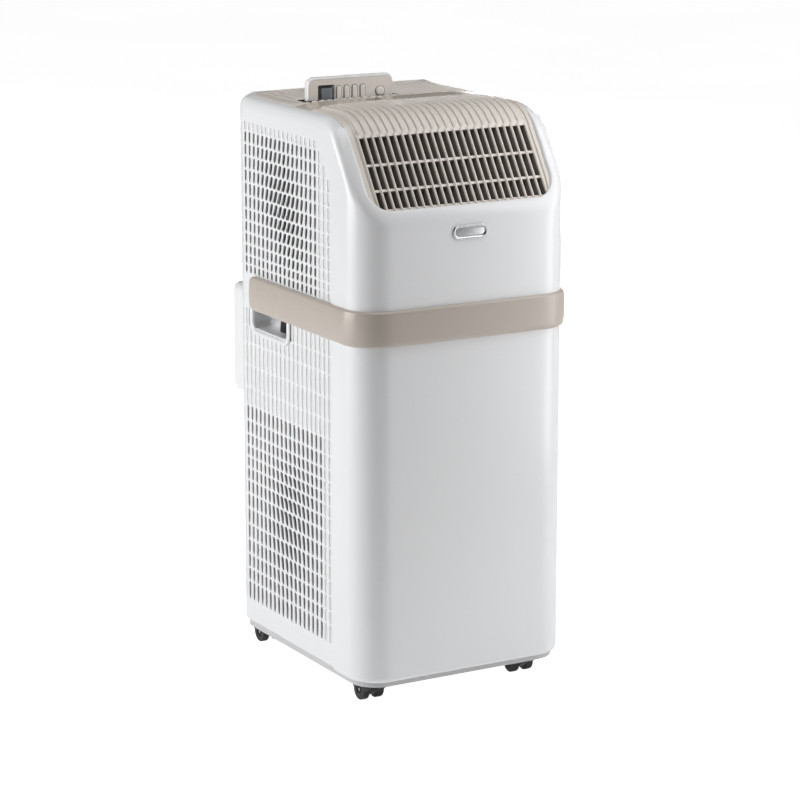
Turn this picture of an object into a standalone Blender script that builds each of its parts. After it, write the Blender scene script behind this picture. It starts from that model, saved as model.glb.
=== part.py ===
"""Compact portable air conditioner on casters, with its remote control standing in the top.

Metres, +Z up. The front faces -Y. The origin is on the floor, under the middle of the
overall box, which runs from the belt band's front to the exhaust collar's rear face.
"""

import math

import bmesh
import bpy
from mathutils import Matrix, Vector

# Cabinet
BODY_WIDTH = 0.282
BODY_DEPTH = 0.320
BODY_TOP = 0.7005
BODY_FOOT = 0.0360
BAND_PROUD = 0.008
OUTLET_PROUD = 0.036
FRONT_CORNER = 0.038
REAR_CORNER = 0.022
REAR_TOP_CORNER = 0.018
WALL = 0.0025
GAP = 0.0003

HALF_WIDTH = BODY_WIDTH / 2
FRONT = BAND_PROUD - (BAND_PROUD + BODY_DEPTH + OUTLET_PROUD) / 2
REAR = FRONT + BODY_DEPTH
REARMOST = REAR + OUTLET_PROUD

# Sloping air outlet at the front of the top, in the side view
SLOPE_START = 0.584
SLOPE_ANGLE = math.radians(56.3)
SLOPE_EASE = 0.012
ROLL_RADIUS = 0.0595
OUTLET_FOOT = 0.593

# Rounding where the side walls meet the slope, and what is left of it on the flat top
SIDE_ROUND = 0.018
FLAT_SHARE = 0.85

# Where the panels part
SEAM_Y = FRONT + 0.070
SHELL_JOINT_Z = 0.460
RIM_INNER = 0.1275
OUTLET_HALF_WIDTH = 0.1265
OUTLET_CORNER = 0.034
REAR_PANEL_HALF = 0.118
REAR_PANEL_TOP = 0.680
COVER_REAR = REAR - 0.012
STRIP_FRONT = FRONT + 0.150
STRIP_REAR = FRONT + 0.188

# Belt band and hand grips
BAND_LOW = 0.4385
BAND_HIGH = 0.4808
BAND_END = 0.100
GRIP_LOW = (0.012, 0.414)
GRIP_HIGH = (0.0995, 0.470)
GRIP_DEPTH = 0.026
GRIP_RIM = 0.008

# Louvre pitch over the outlet and the rear of the top
RIB_PITCH = 0.00977
SLOT_WIDTH = 0.0068

# Exhaust outlet at the rear
EXHAUST_HALF = 0.128
EXHAUST_LOW = 0.320
EXHAUST_HIGH = 0.458
DUCT_RADIUS = 0.050
DUCT_Z = (EXHAUST_LOW + EXHAUST_HIGH) / 2

# Remote control, seen from the front
REMOTE_LEFT = -0.1045
REMOTE_WIDTH = 0.116
REMOTE_LOW = 0.677
REMOTE_HEIGHT = 0.050
REMOTE_FRONT = FRONT + 0.197
REMOTE_THICK = 0.012
KEY_TRAVEL_ROOM = 0.0015

# Base and casters
PAN_FOOT = 0.0275
PAN_INSET = 0.004
CASTER_X = 0.105
CASTER_Y = 0.130
CASTER_TRAIL = 0.0075
WHEEL_RADIUS = 0.0125
WHEEL_WIDTH = 0.009
WHEEL_SPACING = 0.0098
STEM_RADIUS = 0.004

# Inside
PARTITION_Z = 0.475
COND_FAN = Vector((0.0, 0.035, 0.370))
EVAP_FAN = Vector((0.0, -0.010, 0.560))


# ---------------------------------------------------------------- shape helpers

def mesh_object(name, bm):
    """Turn a bmesh into a linked object with outward faces."""
    bmesh.ops.remove_doubles(bm, verts=bm.verts, dist=1e-7)
    bmesh.ops.recalc_face_normals(bm, faces=bm.faces)
    mesh = bpy.data.meshes.new(name)
    bm.to_mesh(mesh)
    bm.free()
    obj = bpy.data.objects.new(name, mesh)
    bpy.context.scene.collection.objects.link(obj)
    return obj


def prism(outline, axis, low, high, name="solid"):
    """Extrude a closed outline along X (y, z points), Y (x, z points) or Z (x, y points)."""
    place = {
        "X": lambda a, b: (low, a, b),
        "Y": lambda a, b: (a, low, b),
        "Z": lambda a, b: (a, b, low),
    }[axis]
    along = {"X": (1, 0, 0), "Y": (0, 1, 0), "Z": (0, 0, 1)}[axis]
    bm = bmesh.new()
    face = bm.faces.new([bm.verts.new(place(a, b)) for a, b in outline])
    grown = bmesh.ops.extrude_face_region(bm, geom=[face])
    moved = [item for item in grown["geom"] if isinstance(item, bmesh.types.BMVert)]
    bmesh.ops.translate(bm, verts=moved, vec=Vector(along) * (high - low))
    return mesh_object(name, bm)


def box(low, high, name="solid"):
    """A box between two corners."""
    return boxes([(low, high)], name)


def boxes(corners, name="solid"):
    """Several separate boxes in one object, for cutting."""
    bm = bmesh.new()
    for low, high in corners:
        size = [b - a for a, b in zip(low, high)]
        middle = [(a + b) / 2 for a, b in zip(low, high)]
        matrix = Matrix.Translation(middle) @ Matrix.Diagonal((*size, 1.0))
        bmesh.ops.create_cube(bm, size=1.0, matrix=matrix)
    return mesh_object(name, bm)


def turned(profile, centre, axis, segments, name="solid"):
    """Spin (radius, height) points about an axis through centre; a closed loop unless both ends
    lie on the axis."""
    bm = bmesh.new()
    turn = {"X": Matrix.Rotation(math.pi / 2, 4, "Y"), "Y": Matrix.Rotation(-math.pi / 2, 4, "X"),
            "Z": Matrix.Identity(4)}[axis]
    verts = [bm.verts.new((radius, 0.0, height)) for radius, height in profile]
    edges = [bm.edges.new(pair) for pair in zip(verts, verts[1:])]
    if profile[0][0] > 0 or profile[-1][0] > 0:
        edges.append(bm.edges.new((verts[-1], verts[0])))
    bmesh.ops.spin(bm, geom=verts + edges, cent=(0, 0, 0), axis=(0, 0, 1),
                   angle=2 * math.pi, steps=segments, use_merge=True)
    bmesh.ops.transform(bm, matrix=Matrix.Translation(centre) @ turn, verts=bm.verts)
    return mesh_object(name, bm)


def rod(radius, centre, axis, low, high, segments=24, name="solid"):
    """A plain cylinder along an axis through centre, between two heights measured from it."""
    return turned([(0.0, low), (radius, low), (radius, high), (0.0, high)], centre, axis, segments, name)


def combine(target, tool, operation):
    """Apply a Boolean to target and remove the tool."""
    step = target.modifiers.new("combine", "BOOLEAN")
    step.operation = operation
    step.solver = "EXACT"
    step.object = tool
    depsgraph = bpy.context.evaluated_depsgraph_get()
    made = bpy.data.meshes.new_from_object(target.evaluated_get(depsgraph))
    target.modifiers.clear()
    target.data = made
    bpy.data.objects.remove(tool)
    return target


def cut(target, tool):
    return combine(target, tool, "DIFFERENCE")


def join(target, tool):
    return combine(target, tool, "UNION")


def keep(target, tool):
    return combine(target, tool, "INTERSECT")


def copy_of(source):
    """A second object with its own copy of the mesh."""
    twin = bpy.data.objects.new("solid", source.data.copy())
    bpy.context.scene.collection.objects.link(twin)
    return twin


def mirrored(source):
    """The same solid on the other side of the YZ plane."""
    twin = copy_of(source)
    bm = bmesh.new()
    bm.from_mesh(twin.data)
    bmesh.ops.transform(bm, matrix=Matrix.Diagonal((-1, 1, 1, 1)), verts=bm.verts)
    bmesh.ops.reverse_faces(bm, faces=bm.faces)
    bm.to_mesh(twin.data)
    bm.free()
    return twin


def rounded_rectangle(low, high, radius, steps):
    """Outline points of a rectangle with round corners, anticlockwise."""
    corners = [(high[0] - radius, low[1] + radius, -90), (high[0] - radius, high[1] - radius, 0),
               (low[0] + radius, high[1] - radius, 90), (low[0] + radius, low[1] + radius, 180)]
    points = []
    for x, y, start in corners:
        for i in range(steps + 1):
            angle = math.radians(start + 90 * i / steps)
            points.append((x + radius * math.cos(angle), y + radius * math.sin(angle)))
    return points


def finish(obj, name, look, origin, smooth=False):
    """Name a solid, give it its material, and put its origin where it belongs."""
    obj.name = name
    obj.data.name = name
    obj.data.transform(Matrix.Translation(-Vector(origin)))
    obj.location = origin
    colour, roughness, metallic = look
    material = bpy.data.materials.new(name)
    material.use_nodes = True
    shader = material.node_tree.nodes["Principled BSDF"]
    shader.inputs["Base Color"].default_value = (*colour, 1.0)
    shader.inputs["Roughness"].default_value = roughness
    shader.inputs["Metallic"].default_value = metallic
    obj.data.materials.clear()
    obj.data.materials.append(material)
    if smooth:
        obj.data.shade_smooth()
        obj.data.set_sharp_from_angle(angle=math.radians(35))


# Colour, roughness, metallic
WHITE = ((0.86, 0.87, 0.88), 0.22, 0.0)
BEIGE = ((0.60, 0.53, 0.46), 0.35, 0.0)
SMOKED = ((0.36, 0.30, 0.25), 0.08, 0.0)
BLACK = ((0.025, 0.025, 0.027), 0.45, 0.0)
GREY = ((0.34, 0.34, 0.35), 0.40, 0.0)
STEEL = ((0.55, 0.56, 0.58), 0.35, 1.0)
ALUMINIUM = ((0.72, 0.73, 0.74), 0.40, 1.0)
COPPER = ((0.72, 0.40, 0.26), 0.30, 1.0)


# ---------------------------------------------------------------- cabinet shapes

def plan_outline(inset):
    """The cabinet seen from above, moved in by inset: large front corners, small rear ones."""
    corners = [(FRONT_CORNER, 1, FRONT, 270, 8), (REAR_CORNER, 1, REAR, 0, 5),
               (REAR_CORNER, -1, REAR, 90, 5), (FRONT_CORNER, -1, FRONT, 180, 8)]
    points = []
    for radius, side, edge, start, steps in corners:
        x = side * (HALF_WIDTH - radius)
        y = edge + radius if edge == FRONT else edge - radius
        for i in range(steps + 1):
            angle = math.radians(start + 90 * i / steps)
            points.append((x + (radius - inset) * math.cos(angle), y + (radius - inset) * math.sin(angle)))
    return points


def side_profile(inset, foot, droop=0.0):
    """The cabinet seen from the side: front wall, slope, roll to the flat top, rear corner.
    Droop sinks the top further in, fully on the slope and only a little on the flat top."""
    tilt = math.pi / 2 - SLOPE_ANGLE
    flat = FLAT_SHARE * droop
    foot_centre = (FRONT + SLOPE_EASE, SLOPE_START - SLOPE_EASE * math.tan(tilt / 2))
    meet = FRONT + (BODY_TOP - SLOPE_START) / math.tan(SLOPE_ANGLE)
    roll_centre = (meet + ROLL_RADIUS * math.tan(SLOPE_ANGLE / 2), BODY_TOP - ROLL_RADIUS)
    points = [(FRONT + inset, foot)]
    for i in range(4):
        angle = math.pi - tilt * i / 3
        reach = SLOPE_EASE - inset - droop * i / 3
        points.append((foot_centre[0] + reach * math.cos(angle), foot_centre[1] + reach * math.sin(angle)))
    for i in range(9):
        share = i / 8
        angle = math.pi - tilt - SLOPE_ANGLE * share
        reach = ROLL_RADIUS - inset - droop + (droop - flat) * share ** 1.5
        points.append((roll_centre[0] + reach * math.cos(angle), roll_centre[1] + reach * math.sin(angle)))
    for i in range(6):
        angle = math.radians(90 - 18 * i)
        reach = REAR_TOP_CORNER - inset - flat
        points.append((REAR - REAR_TOP_CORNER + reach * math.cos(angle),
                       BODY_TOP - REAR_TOP_CORNER + reach * math.sin(angle)))
    points.append((REAR - inset - flat, foot))
    return points


def top_solid(inset, foot):
    """The side view carried across the width, rounding over towards both side walls."""
    start = HALF_WIDTH - SIDE_ROUND
    sections = []
    for i in range(5):
        angle = math.radians(22.5 * i)
        sections.append((start + (SIDE_ROUND - inset) * math.sin(angle),
                         (SIDE_ROUND - inset) * (1 - math.cos(angle))))
    bm = bmesh.new()
    rings = []
    for x, droop in [(-x, droop) for x, droop in reversed(sections)] + sections:
        rings.append([bm.verts.new((x, y, z)) for y, z in side_profile(inset, foot, droop)])
    for ring, following in zip(rings, rings[1:]):
        for i in range(len(ring)):
            j = (i + 1) % len(ring)
            bm.faces.new((ring[i], ring[j], following[j], following[i]))
    walls = bm.faces[:]
    bm.faces.new(rings[0])
    bm.faces.new(rings[-1])
    bmesh.ops.triangulate(bm, faces=walls)
    return mesh_object("solid", bm)


def cabinet_solid(inset, foot):
    """The whole cabinet as one solid: plan and rounded side view meeting."""
    solid = prism(plan_outline(inset), "Z", foot, BODY_TOP + 0.01)
    return keep(solid, top_solid(inset, foot - 0.01))


def profile_layer(near, far, half_width, front, rear, low):
    """A layer that follows the side view between two depths."""
    layer = prism(side_profile(near, 0.5), "X", -half_width, half_width)
    cut(layer, prism(side_profile(far, 0.49), "X", -0.2, 0.2))
    return keep(layer, box((-0.2, front, low), (0.2, rear, 0.8)))


def outlet_outline(gap):
    """The ribbed insert seen from above: narrower on the slope, rounded to meet the front wall."""
    front = FRONT + 0.0006 + gap
    corner = rounded_rectangle((gap - OUTLET_HALF_WIDTH, front), (OUTLET_HALF_WIDTH - gap, 0.2), OUTLET_CORNER, 7)
    lower = corner[:8]
    flare = []
    for i in range(7):
        share = i / 6
        swell = (1 - math.cos(math.pi * share)) / 2
        x = OUTLET_HALF_WIDTH + (RIM_INNER - OUTLET_HALF_WIDTH) * swell - gap
        flare.append((x, FRONT + 0.052 + 0.050 * share))
    right = lower + flare + [(RIM_INNER - gap, 0.2)]
    return right + [(-x, y) for x, y in reversed(right)]


def row_of_slots(columns, width, spans, front, rear):
    """Cutters for a row of slots that stand side by side along X."""
    return boxes([((x - width / 2, front, low), (x + width / 2, rear, high))
                  for x in columns for low, high in spans])


def make_shells():
    """Front shells, side panels and rear panel, all cut from one thin shell."""
    shell = cut(cabinet_solid(0.0, BODY_FOOT), cabinet_solid(WALL, BODY_FOOT - 0.01))

    lower = keep(copy_of(shell), box((-0.2, -0.2, 0.0), (0.2, SEAM_Y - GAP / 2, SHELL_JOINT_Z - GAP / 2)))
    finish(lower, "lower_front_shell", WHITE, (0, FRONT, BODY_FOOT))

    upper = keep(copy_of(shell), box((-0.2, -0.2, SHELL_JOINT_Z + GAP / 2), (0.2, SEAM_Y - GAP / 2, 0.8)))
    cut(upper, prism(outlet_outline(0.0), "Z", OUTLET_FOOT, 0.8))
    finish(upper, "upper_front_shell", WHITE, (0, FRONT, SHELL_JOINT_Z))

    side = keep(copy_of(shell), box((-0.2, SEAM_Y + GAP / 2, 0.0), (-REAR_PANEL_HALF, 0.2, 0.8)))
    opening = prism(outlet_outline(0.0), "Z", REAR_PANEL_TOP, 0.8)
    cut(side, keep(opening, box((-0.2, -0.2, 0.6), (0.2, REAR - REAR_CORNER, 0.9))))
    cut(side, side_slots())
    room = 0.006
    cut(side, box((-0.2, GRIP_LOW[0] - room, GRIP_LOW[1] - room),
                  (-0.12, GRIP_HIGH[0] + room, GRIP_HIGH[1] + room)))
    other = mirrored(side)
    finish(side, "side_panel_left", WHITE, (-HALF_WIDTH, SEAM_Y, BODY_FOOT))
    finish(other, "side_panel_right", WHITE, (HALF_WIDTH, SEAM_Y, BODY_FOOT))

    rear = keep(shell, box((-REAR_PANEL_HALF + GAP, REAR - 0.03, 0.0),
                           (REAR_PANEL_HALF - GAP, 0.2, 0.8)))
    cut(rear, box((-0.2, REAR - 0.04, REAR_PANEL_TOP), (0.2, COVER_REAR, 0.8)))
    columns = [0.020 * i for i in range(-4, 5)]
    cut(rear, row_of_slots(columns, 0.010, [(0.100, 0.290), (0.505, 0.650)], 0.1, 0.2))
    duct = 0.060
    cut(rear, box((-duct, REAR - 0.03, DUCT_Z - duct), (duct, REAR + 0.03, DUCT_Z + duct)))
    cut(rear, rod(0.0065, (0.090, REAR, 0.060), "Y", -0.05, 0.05, 16))
    cut(rear, rod(0.0050, (-0.090, REAR, 0.075), "Y", -0.05, 0.05, 16))
    finish(rear, "rear_panel", WHITE, (0, REAR, BODY_FOOT))


def side_slots():
    """Upright vent slots of the left side panel, in one row above the band and two below."""
    first = FRONT + 0.0807
    columns = [first + 0.0222 * i for i in range(10)]
    spans = [(0.070, 0.182), (0.188, 0.300), (0.496, 0.655)]
    return boxes([((-0.16, y - 0.0025, low), (-0.125, y + 0.0025, high))
                  for y in columns for low, high in spans])


def make_belt_band():
    """A belt round the front and both sides, standing proud of the panels."""
    band = prism(plan_outline(-BAND_PROUD), "Z", BAND_LOW, BAND_HIGH)
    edge = band.modifiers.new("edge", "BEVEL")
    edge.width = 0.003
    edge.segments = 1
    edge.limit_method = "ANGLE"
    edge.angle_limit = math.radians(60)
    cut(band, prism(plan_outline(-GAP), "Z", BAND_LOW - 0.01, BAND_HIGH + 0.01))
    keep(band, box((-0.2, -0.3, 0.4), (0.2, BAND_END, 0.5)))
    finish(band, "belt_band", BEIGE, (0, FRONT - BAND_PROUD, (BAND_LOW + BAND_HIGH) / 2))


def make_hand_grips():
    """A cup let into each side panel below and behind the band, with a raised rim."""
    low_y, low_z = GRIP_LOW[0] + GAP, GRIP_LOW[1] + GAP
    high_y, high_z = GRIP_HIGH[0] - GAP, GRIP_HIGH[1] - GAP
    outside = -HALF_WIDTH
    grip = box((outside, low_y, low_z), (outside + GRIP_DEPTH, high_y, high_z))
    rim = box((outside - 0.002, low_y - GRIP_RIM, low_z - 0.006),
              (outside - GAP, high_y + GRIP_RIM, BAND_LOW - GAP))
    neck = box((outside - 0.001, low_y, low_z), (outside + 0.002, high_y, BAND_LOW - GAP))
    join(rim, neck)
    join(grip, rim)
    wall = 0.002
    cut(grip, box((outside - 0.01, low_y + wall, low_z + wall),
                  (outside + GRIP_DEPTH - wall, high_y - wall, high_z - wall)))
    other = mirrored(grip)
    middle = ((low_y + high_y) / 2, (low_z + high_z) / 2)
    finish(grip, "hand_grip_left", GREY, (outside, *middle))
    finish(other, "hand_grip_right", GREY, (-outside, *middle))


# ---------------------------------------------------------------- top

def make_top_grille():
    """Ribbed air outlet on the slope: three rows of deep slots between louvre ribs."""
    grille = profile_layer(0.001, 0.012, RIM_INNER - GAP, -0.2, STRIP_FRONT - GAP, OUTLET_FOOT + GAP)
    keep(grille, prism(outlet_outline(GAP), "Z", 0.5, 0.8))
    columns = [RIB_PITCH * i for i in range(-11, 12)]
    spans = [(0.5980, 0.6158), (0.6184, 0.6428), (0.6454, 0.6723)]
    cut(grille, row_of_slots(columns, SLOT_WIDTH, spans, -0.2, FRONT + 0.075))
    finish(grille, "top_grille", BEIGE, (0, FRONT, OUTLET_FOOT))


def make_control_strip():
    """Glossy cross strip behind the outlet, with a small display window let into it."""
    strip = profile_layer(0.0, 0.003, RIM_INNER - GAP, STRIP_FRONT, STRIP_REAR, 0.6)
    x, y = -0.030, FRONT + 0.170
    half_x, half_y = 0.010, 0.006
    cut(strip, box((x - half_x, y - half_y, 0.6), (x + half_x, y + half_y, 0.8)))
    finish(strip, "control_strip", SMOKED, (0, (STRIP_FRONT + STRIP_REAR) / 2, BODY_TOP))
    window = box((x - half_x + GAP, y - half_y + GAP, BODY_TOP - 0.003),
                 (x + half_x - GAP, y + half_y - GAP, BODY_TOP - 0.0002))
    finish(window, "display_window", BLACK, (x, y, BODY_TOP))


def make_rear_cover():
    """Rear part of the top: ribbed, with a row of short slots and the remote's opening."""
    cover = profile_layer(0.0, WALL, RIM_INNER - GAP, STRIP_REAR + GAP, COVER_REAR - GAP, REAR_PANEL_TOP)
    for side in (-1, 1):
        edge = side * (REAR_PANEL_HALF - GAP)
        low, high = sorted((edge, side * 0.2))
        cut(cover, box((low, REAR - REAR_CORNER - GAP, 0.6), (high, 0.2, 0.8)))
    columns = [RIB_PITCH * i for i in range(-11, 12)]
    cut(cover, row_of_slots(columns, 0.0055, [(0.69, 0.71)], FRONT + 0.262, FRONT + 0.280))
    low_x, high_x, low_y, high_y = pocket_limits(0.0)
    cut(cover, box((low_x, low_y, 0.6), (high_x, high_y, 0.8)))
    finish(cover, "top_rear_cover", BEIGE, (0, REAR, BODY_TOP))


def pocket_limits(inset):
    """The remote's opening in the top, in plan."""
    return (REMOTE_LEFT - 0.0060 + inset, REMOTE_LEFT + REMOTE_WIDTH + 0.0060 - inset,
            REMOTE_FRONT - 0.0035 + inset, REMOTE_FRONT + REMOTE_THICK + 0.0035 - inset)


def make_remote_pocket():
    """Open cup that the remote control stands in."""
    low_x, high_x, low_y, high_y = pocket_limits(GAP)
    floor = REMOTE_LOW - GAP
    pocket = box((low_x, low_y, floor - 0.002), (high_x, high_y, BODY_TOP - 0.0005))
    wall = 0.002
    cut(pocket, box((low_x + wall, low_y + wall, floor), (high_x - wall, high_y - wall, 0.8)))
    finish(pocket, "remote_pocket", BLACK, ((low_x + high_x) / 2, REMOTE_FRONT, floor))


# ---------------------------------------------------------------- remote control

def make_remote():
    """Hand-held control: back shell, face plate, lens, four tall keys and a power key."""
    right = REMOTE_LEFT + REMOTE_WIDTH
    high = REMOTE_LOW + REMOTE_HEIGHT
    front, back = REMOTE_FRONT, REMOTE_FRONT + REMOTE_THICK
    origin = (REMOTE_LEFT + REMOTE_WIDTH / 2, front, REMOTE_LOW)
    rim = 0.003

    shell = prism(rounded_rectangle((REMOTE_LEFT, REMOTE_LOW), (right, high), 0.008, 4), "Y", front, back)
    hollow = rounded_rectangle((REMOTE_LEFT + rim, REMOTE_LOW + rim), (right - rim, high - rim), 0.005, 4)
    cut(shell, prism(hollow, "Y", front - 0.01, back - 0.0025))
    finish(shell, "remote_back", WHITE, origin)

    inset = rim + GAP
    plate = rounded_rectangle((REMOTE_LEFT + inset, REMOTE_LOW + inset), (right - inset, high - inset), 0.005, 4)
    face = prism(plate, "Y", front, front + 0.0025)
    lens_low = (REMOTE_LEFT + 0.0133, REMOTE_LOW + 0.012)
    lens_high = (REMOTE_LEFT + 0.0357, REMOTE_LOW + 0.0405)
    cut(face, prism(rounded_rectangle(lens_low, lens_high, 0.0015, 2), "Y", front - 0.01, front + 0.01))

    keys = [("key_mode", 0.0413), ("key_speed", 0.0518), ("key_up", 0.0627), ("key_down", 0.0736)]
    outlines = {}
    for name, offset in keys:
        x = REMOTE_LEFT + offset
        outlines[name] = ((x - 0.0034, REMOTE_LOW + 0.016), (x + 0.0034, REMOTE_LOW + 0.0388), 0.0030)
    power = REMOTE_LEFT + 0.0977
    outlines["key_power"] = ((power - 0.0060, REMOTE_LOW + 0.0240), (power + 0.0060, REMOTE_LOW + 0.0345), 0.0050)
    for name, (low, top, radius) in outlines.items():
        cut(face, prism(rounded_rectangle(low, top, radius, 3), "Y", front - 0.01, front + 0.01))
    finish(face, "remote_face", BEIGE, origin)

    glass_low = (lens_low[0] + GAP, lens_low[1] + GAP)
    glass_high = (lens_high[0] - GAP, lens_high[1] - GAP)
    lens = prism(rounded_rectangle(glass_low, glass_high, 0.0012, 2), "Y", front + 0.0004, front + 0.0025)
    finish(lens, "remote_lens", GREY, origin)

    for name, (low, top, radius) in outlines.items():
        outline = rounded_rectangle((low[0] + GAP, low[1] + GAP), (top[0] - GAP, top[1] - GAP), radius - GAP, 3)
        key = prism(outline, "Y", front - 0.0009, back - 0.0025 - KEY_TRAVEL_ROOM)
        middle = ((low[0] + top[0]) / 2, front, (low[1] + top[1]) / 2)
        finish(key, name, WHITE, middle)


# ---------------------------------------------------------------- rear

def make_exhaust():
    """Outlet housing on the rear wall and the turning collar that a hose locks into."""
    rear = REARMOST - 0.002
    housing = prism(rounded_rectangle((-EXHAUST_HALF, EXHAUST_LOW), (EXHAUST_HALF, EXHAUST_HIGH), 0.010, 4),
                    "Y", REAR + GAP, rear)
    hollow = rounded_rectangle((-EXHAUST_HALF + WALL, EXHAUST_LOW + WALL),
                               (EXHAUST_HALF - WALL, EXHAUST_HIGH - WALL), 0.0075, 4)
    cut(housing, prism(hollow, "Y", REAR - 0.01, rear - WALL))
    cut(housing, rod(0.0590, (0, REAR, DUCT_Z), "Y", 0.0, 0.05, 32))
    finish(housing, "exhaust_housing", WHITE, (0, REAR, DUCT_Z))

    reach = REARMOST - REAR
    ring = [(DUCT_RADIUS, 0.012), (0.0580, 0.012), (0.0580, 0.0285), (0.0620, 0.0285), (0.0620, 0.0310),
            (0.0580, 0.0310), (0.0580, reach), (DUCT_RADIUS, reach)]
    collar = turned(ring, (0, REAR, DUCT_Z), "Y", 32)
    for i in range(3):
        angle = 2 * math.pi * i / 3 + math.pi / 2
        notch = box((-0.006, REARMOST - 0.012, -0.0545), (0.006, REARMOST + 0.01, -0.0470))
        notch.data.transform(Matrix.Translation((0, 0, DUCT_Z)) @ Matrix.Rotation(angle, 4, "Y"))
        cut(collar, notch)
    finish(collar, "exhaust_collar", GREY, (0, REARMOST, DUCT_Z), smooth=True)


def make_filter():
    """Clip-on intake grille on the rear with its filter sheet."""
    half, low, high = 0.100, 0.492, 0.664
    near, far = REAR + GAP, REAR + 0.0055
    frame = prism(rounded_rectangle((-half, low), (half, high), 0.006, 3), "Y", near, far)
    border = 0.005
    cut(frame, box((-half + border, near - 0.01, low + border), (half - border, near + 0.0020, high - border)))
    rows = 7
    pitch = (high - low - 2 * border) / rows
    cell = (2 * half - 2 * border) / 3
    openings = []
    for row in range(rows):
        for column in range(3):
            x = -half + border + cell * column
            z = low + border + pitch * row
            openings.append(((x + 0.002, near - 0.01, z + 0.002), (x + cell - 0.002, far + 0.01, z + pitch - 0.002)))
    cut(frame, boxes(openings))
    finish(frame, "filter_frame", WHITE, (0, REAR, (low + high) / 2))
    inset = border + GAP
    sheet = box((-half + inset, near + 0.0005, low + inset), (half - inset, near + 0.0017, high - inset))
    finish(sheet, "filter_sheet", GREY, (0, REAR, (low + high) / 2))


def make_rear_fittings():
    """Drain spout with its pull-out plug, and the cord gland."""
    spot = (0.090, REAR, 0.060)
    spout = turned([(0.0050, GAP), (0.0120, GAP), (0.0120, 0.0020), (0.0080, 0.0020), (0.0080, 0.0100),
                    (0.0050, 0.0100)], spot, "Y", 20)
    finish(spout, "drain_spout", BLACK, spot, smooth=True)
    plug = turned([(0.0, 0.0010), (0.0044, 0.0010), (0.0044, 0.0103), (0.0090, 0.0103), (0.0090, 0.0135),
                   (0.0, 0.0135)], spot, "Y", 20)
    finish(plug, "drain_plug", BLACK, spot, smooth=True)
    spot = (-0.090, REAR, 0.075)
    gland = turned([(0.0040, GAP), (0.0140, GAP), (0.0140, 0.0025), (0.0085, 0.0040), (0.0065, 0.0120),
                    (0.0040, 0.0120)], spot, "Y", 20)
    finish(gland, "cord_gland", BLACK, spot, smooth=True)


def make_badge():
    """Plain oval plate on the front, with no lettering."""
    centre = (0.0, FRONT, 0.565)
    steps = 28
    outline = [(0.023 * math.cos(2 * math.pi * i / steps), centre[2] + 0.0085 * math.sin(2 * math.pi * i / steps))
               for i in range(steps)]
    badge = prism(outline, "Y", FRONT - 0.0018, FRONT - GAP)
    finish(badge, "badge_plate", ALUMINIUM, centre)


# ---------------------------------------------------------------- base and casters

def make_base_pan():
    """Drip pan that closes the cabinet below, thick where the caster stems go in."""
    pan = prism(plan_outline(PAN_INSET), "Z", PAN_FOOT, BODY_FOOT - GAP)
    cut(pan, prism(rounded_rectangle((-0.088, -0.108), (0.088, 0.108), 0.012, 3), "Z", PAN_FOOT + 0.003, 0.1))
    for x in (-CASTER_X, CASTER_X):
        for y in (-CASTER_Y, CASTER_Y):
            cut(pan, rod(STEM_RADIUS + 0.0004, (x, y, 0), "Z", 0.0, PAN_FOOT + 0.0065, 20))
    finish(pan, "base_pan", WHITE, (0, 0, PAN_FOOT))


def web_outline(axle):
    """Side view of the plate between a caster's wheels: a half disc over a tapering lug."""
    arc = [math.radians(15 * i) for i in range(13)]
    points = [(axle.y + 0.0137 * math.cos(a), axle.z + 0.0137 * math.sin(a)) for a in arc]
    return points + [(axle.y - 0.0070, axle.z - 0.0060), (axle.y + 0.0070, axle.z - 0.0060)]


def fender_outline(axle):
    """Side view of the thin hood over a caster's wheels."""
    arc = [math.radians(4 + 14.333 * i) for i in range(13)]
    outer = [(axle.y + 0.0142 * math.cos(a), axle.z + 0.0142 * math.sin(a)) for a in arc]
    inner = [(axle.y + 0.0131 * math.cos(a), axle.z + 0.0131 * math.sin(a)) for a in reversed(arc)]
    return outer + inner


def make_casters():
    """Four twin-wheel casters: a fender and web that swivel on a stem, two wheels and their axle."""
    corners = {"front_left": (-1, -1), "front_right": (1, -1), "rear_left": (-1, 1), "rear_right": (1, 1)}
    for corner, (side, end) in corners.items():
        stem = Vector((side * CASTER_X, end * CASTER_Y, PAN_FOOT))
        axle = Vector((stem.x, stem.y + CASTER_TRAIL, WHEEL_RADIUS))
        half = WHEEL_SPACING + WHEEL_WIDTH / 2
        web = 0.0044

        fork = prism(web_outline(axle), "X", axle.x - web, axle.x + web)
        for low, high in ((-half, 0.0004 - web), (web - 0.0004, half)):
            join(fork, prism(fender_outline(axle), "X", axle.x + low, axle.x + high))
        cut(fork, rod(0.0023, axle, "X", -0.03, 0.03, 12))
        join(fork, rod(STEM_RADIUS, stem, "Z", -0.012, 0.006, 20))
        finish(fork, f"caster_{corner}", BLACK, stem, smooth=True)

        bore, edge = 0.0021, 0.0010
        for letter, offset in (("a", -WHEEL_SPACING), ("b", WHEEL_SPACING)):
            low, high = offset - WHEEL_WIDTH / 2, offset + WHEEL_WIDTH / 2
            tyre = [(bore, low), (WHEEL_RADIUS - edge, low), (WHEEL_RADIUS, low + edge),
                    (WHEEL_RADIUS, high - edge), (WHEEL_RADIUS - edge, high), (bore, high)]
            wheel = turned(tyre, axle, "X", 20)
            finish(wheel, f"wheel_{corner}_{letter}", BLACK, axle, smooth=True)
        pin = rod(0.0018, axle, "X", -0.0135, 0.0135, 12)
        finish(pin, f"axle_{corner}", STEEL, axle, smooth=True)


# ---------------------------------------------------------------- inside

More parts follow.
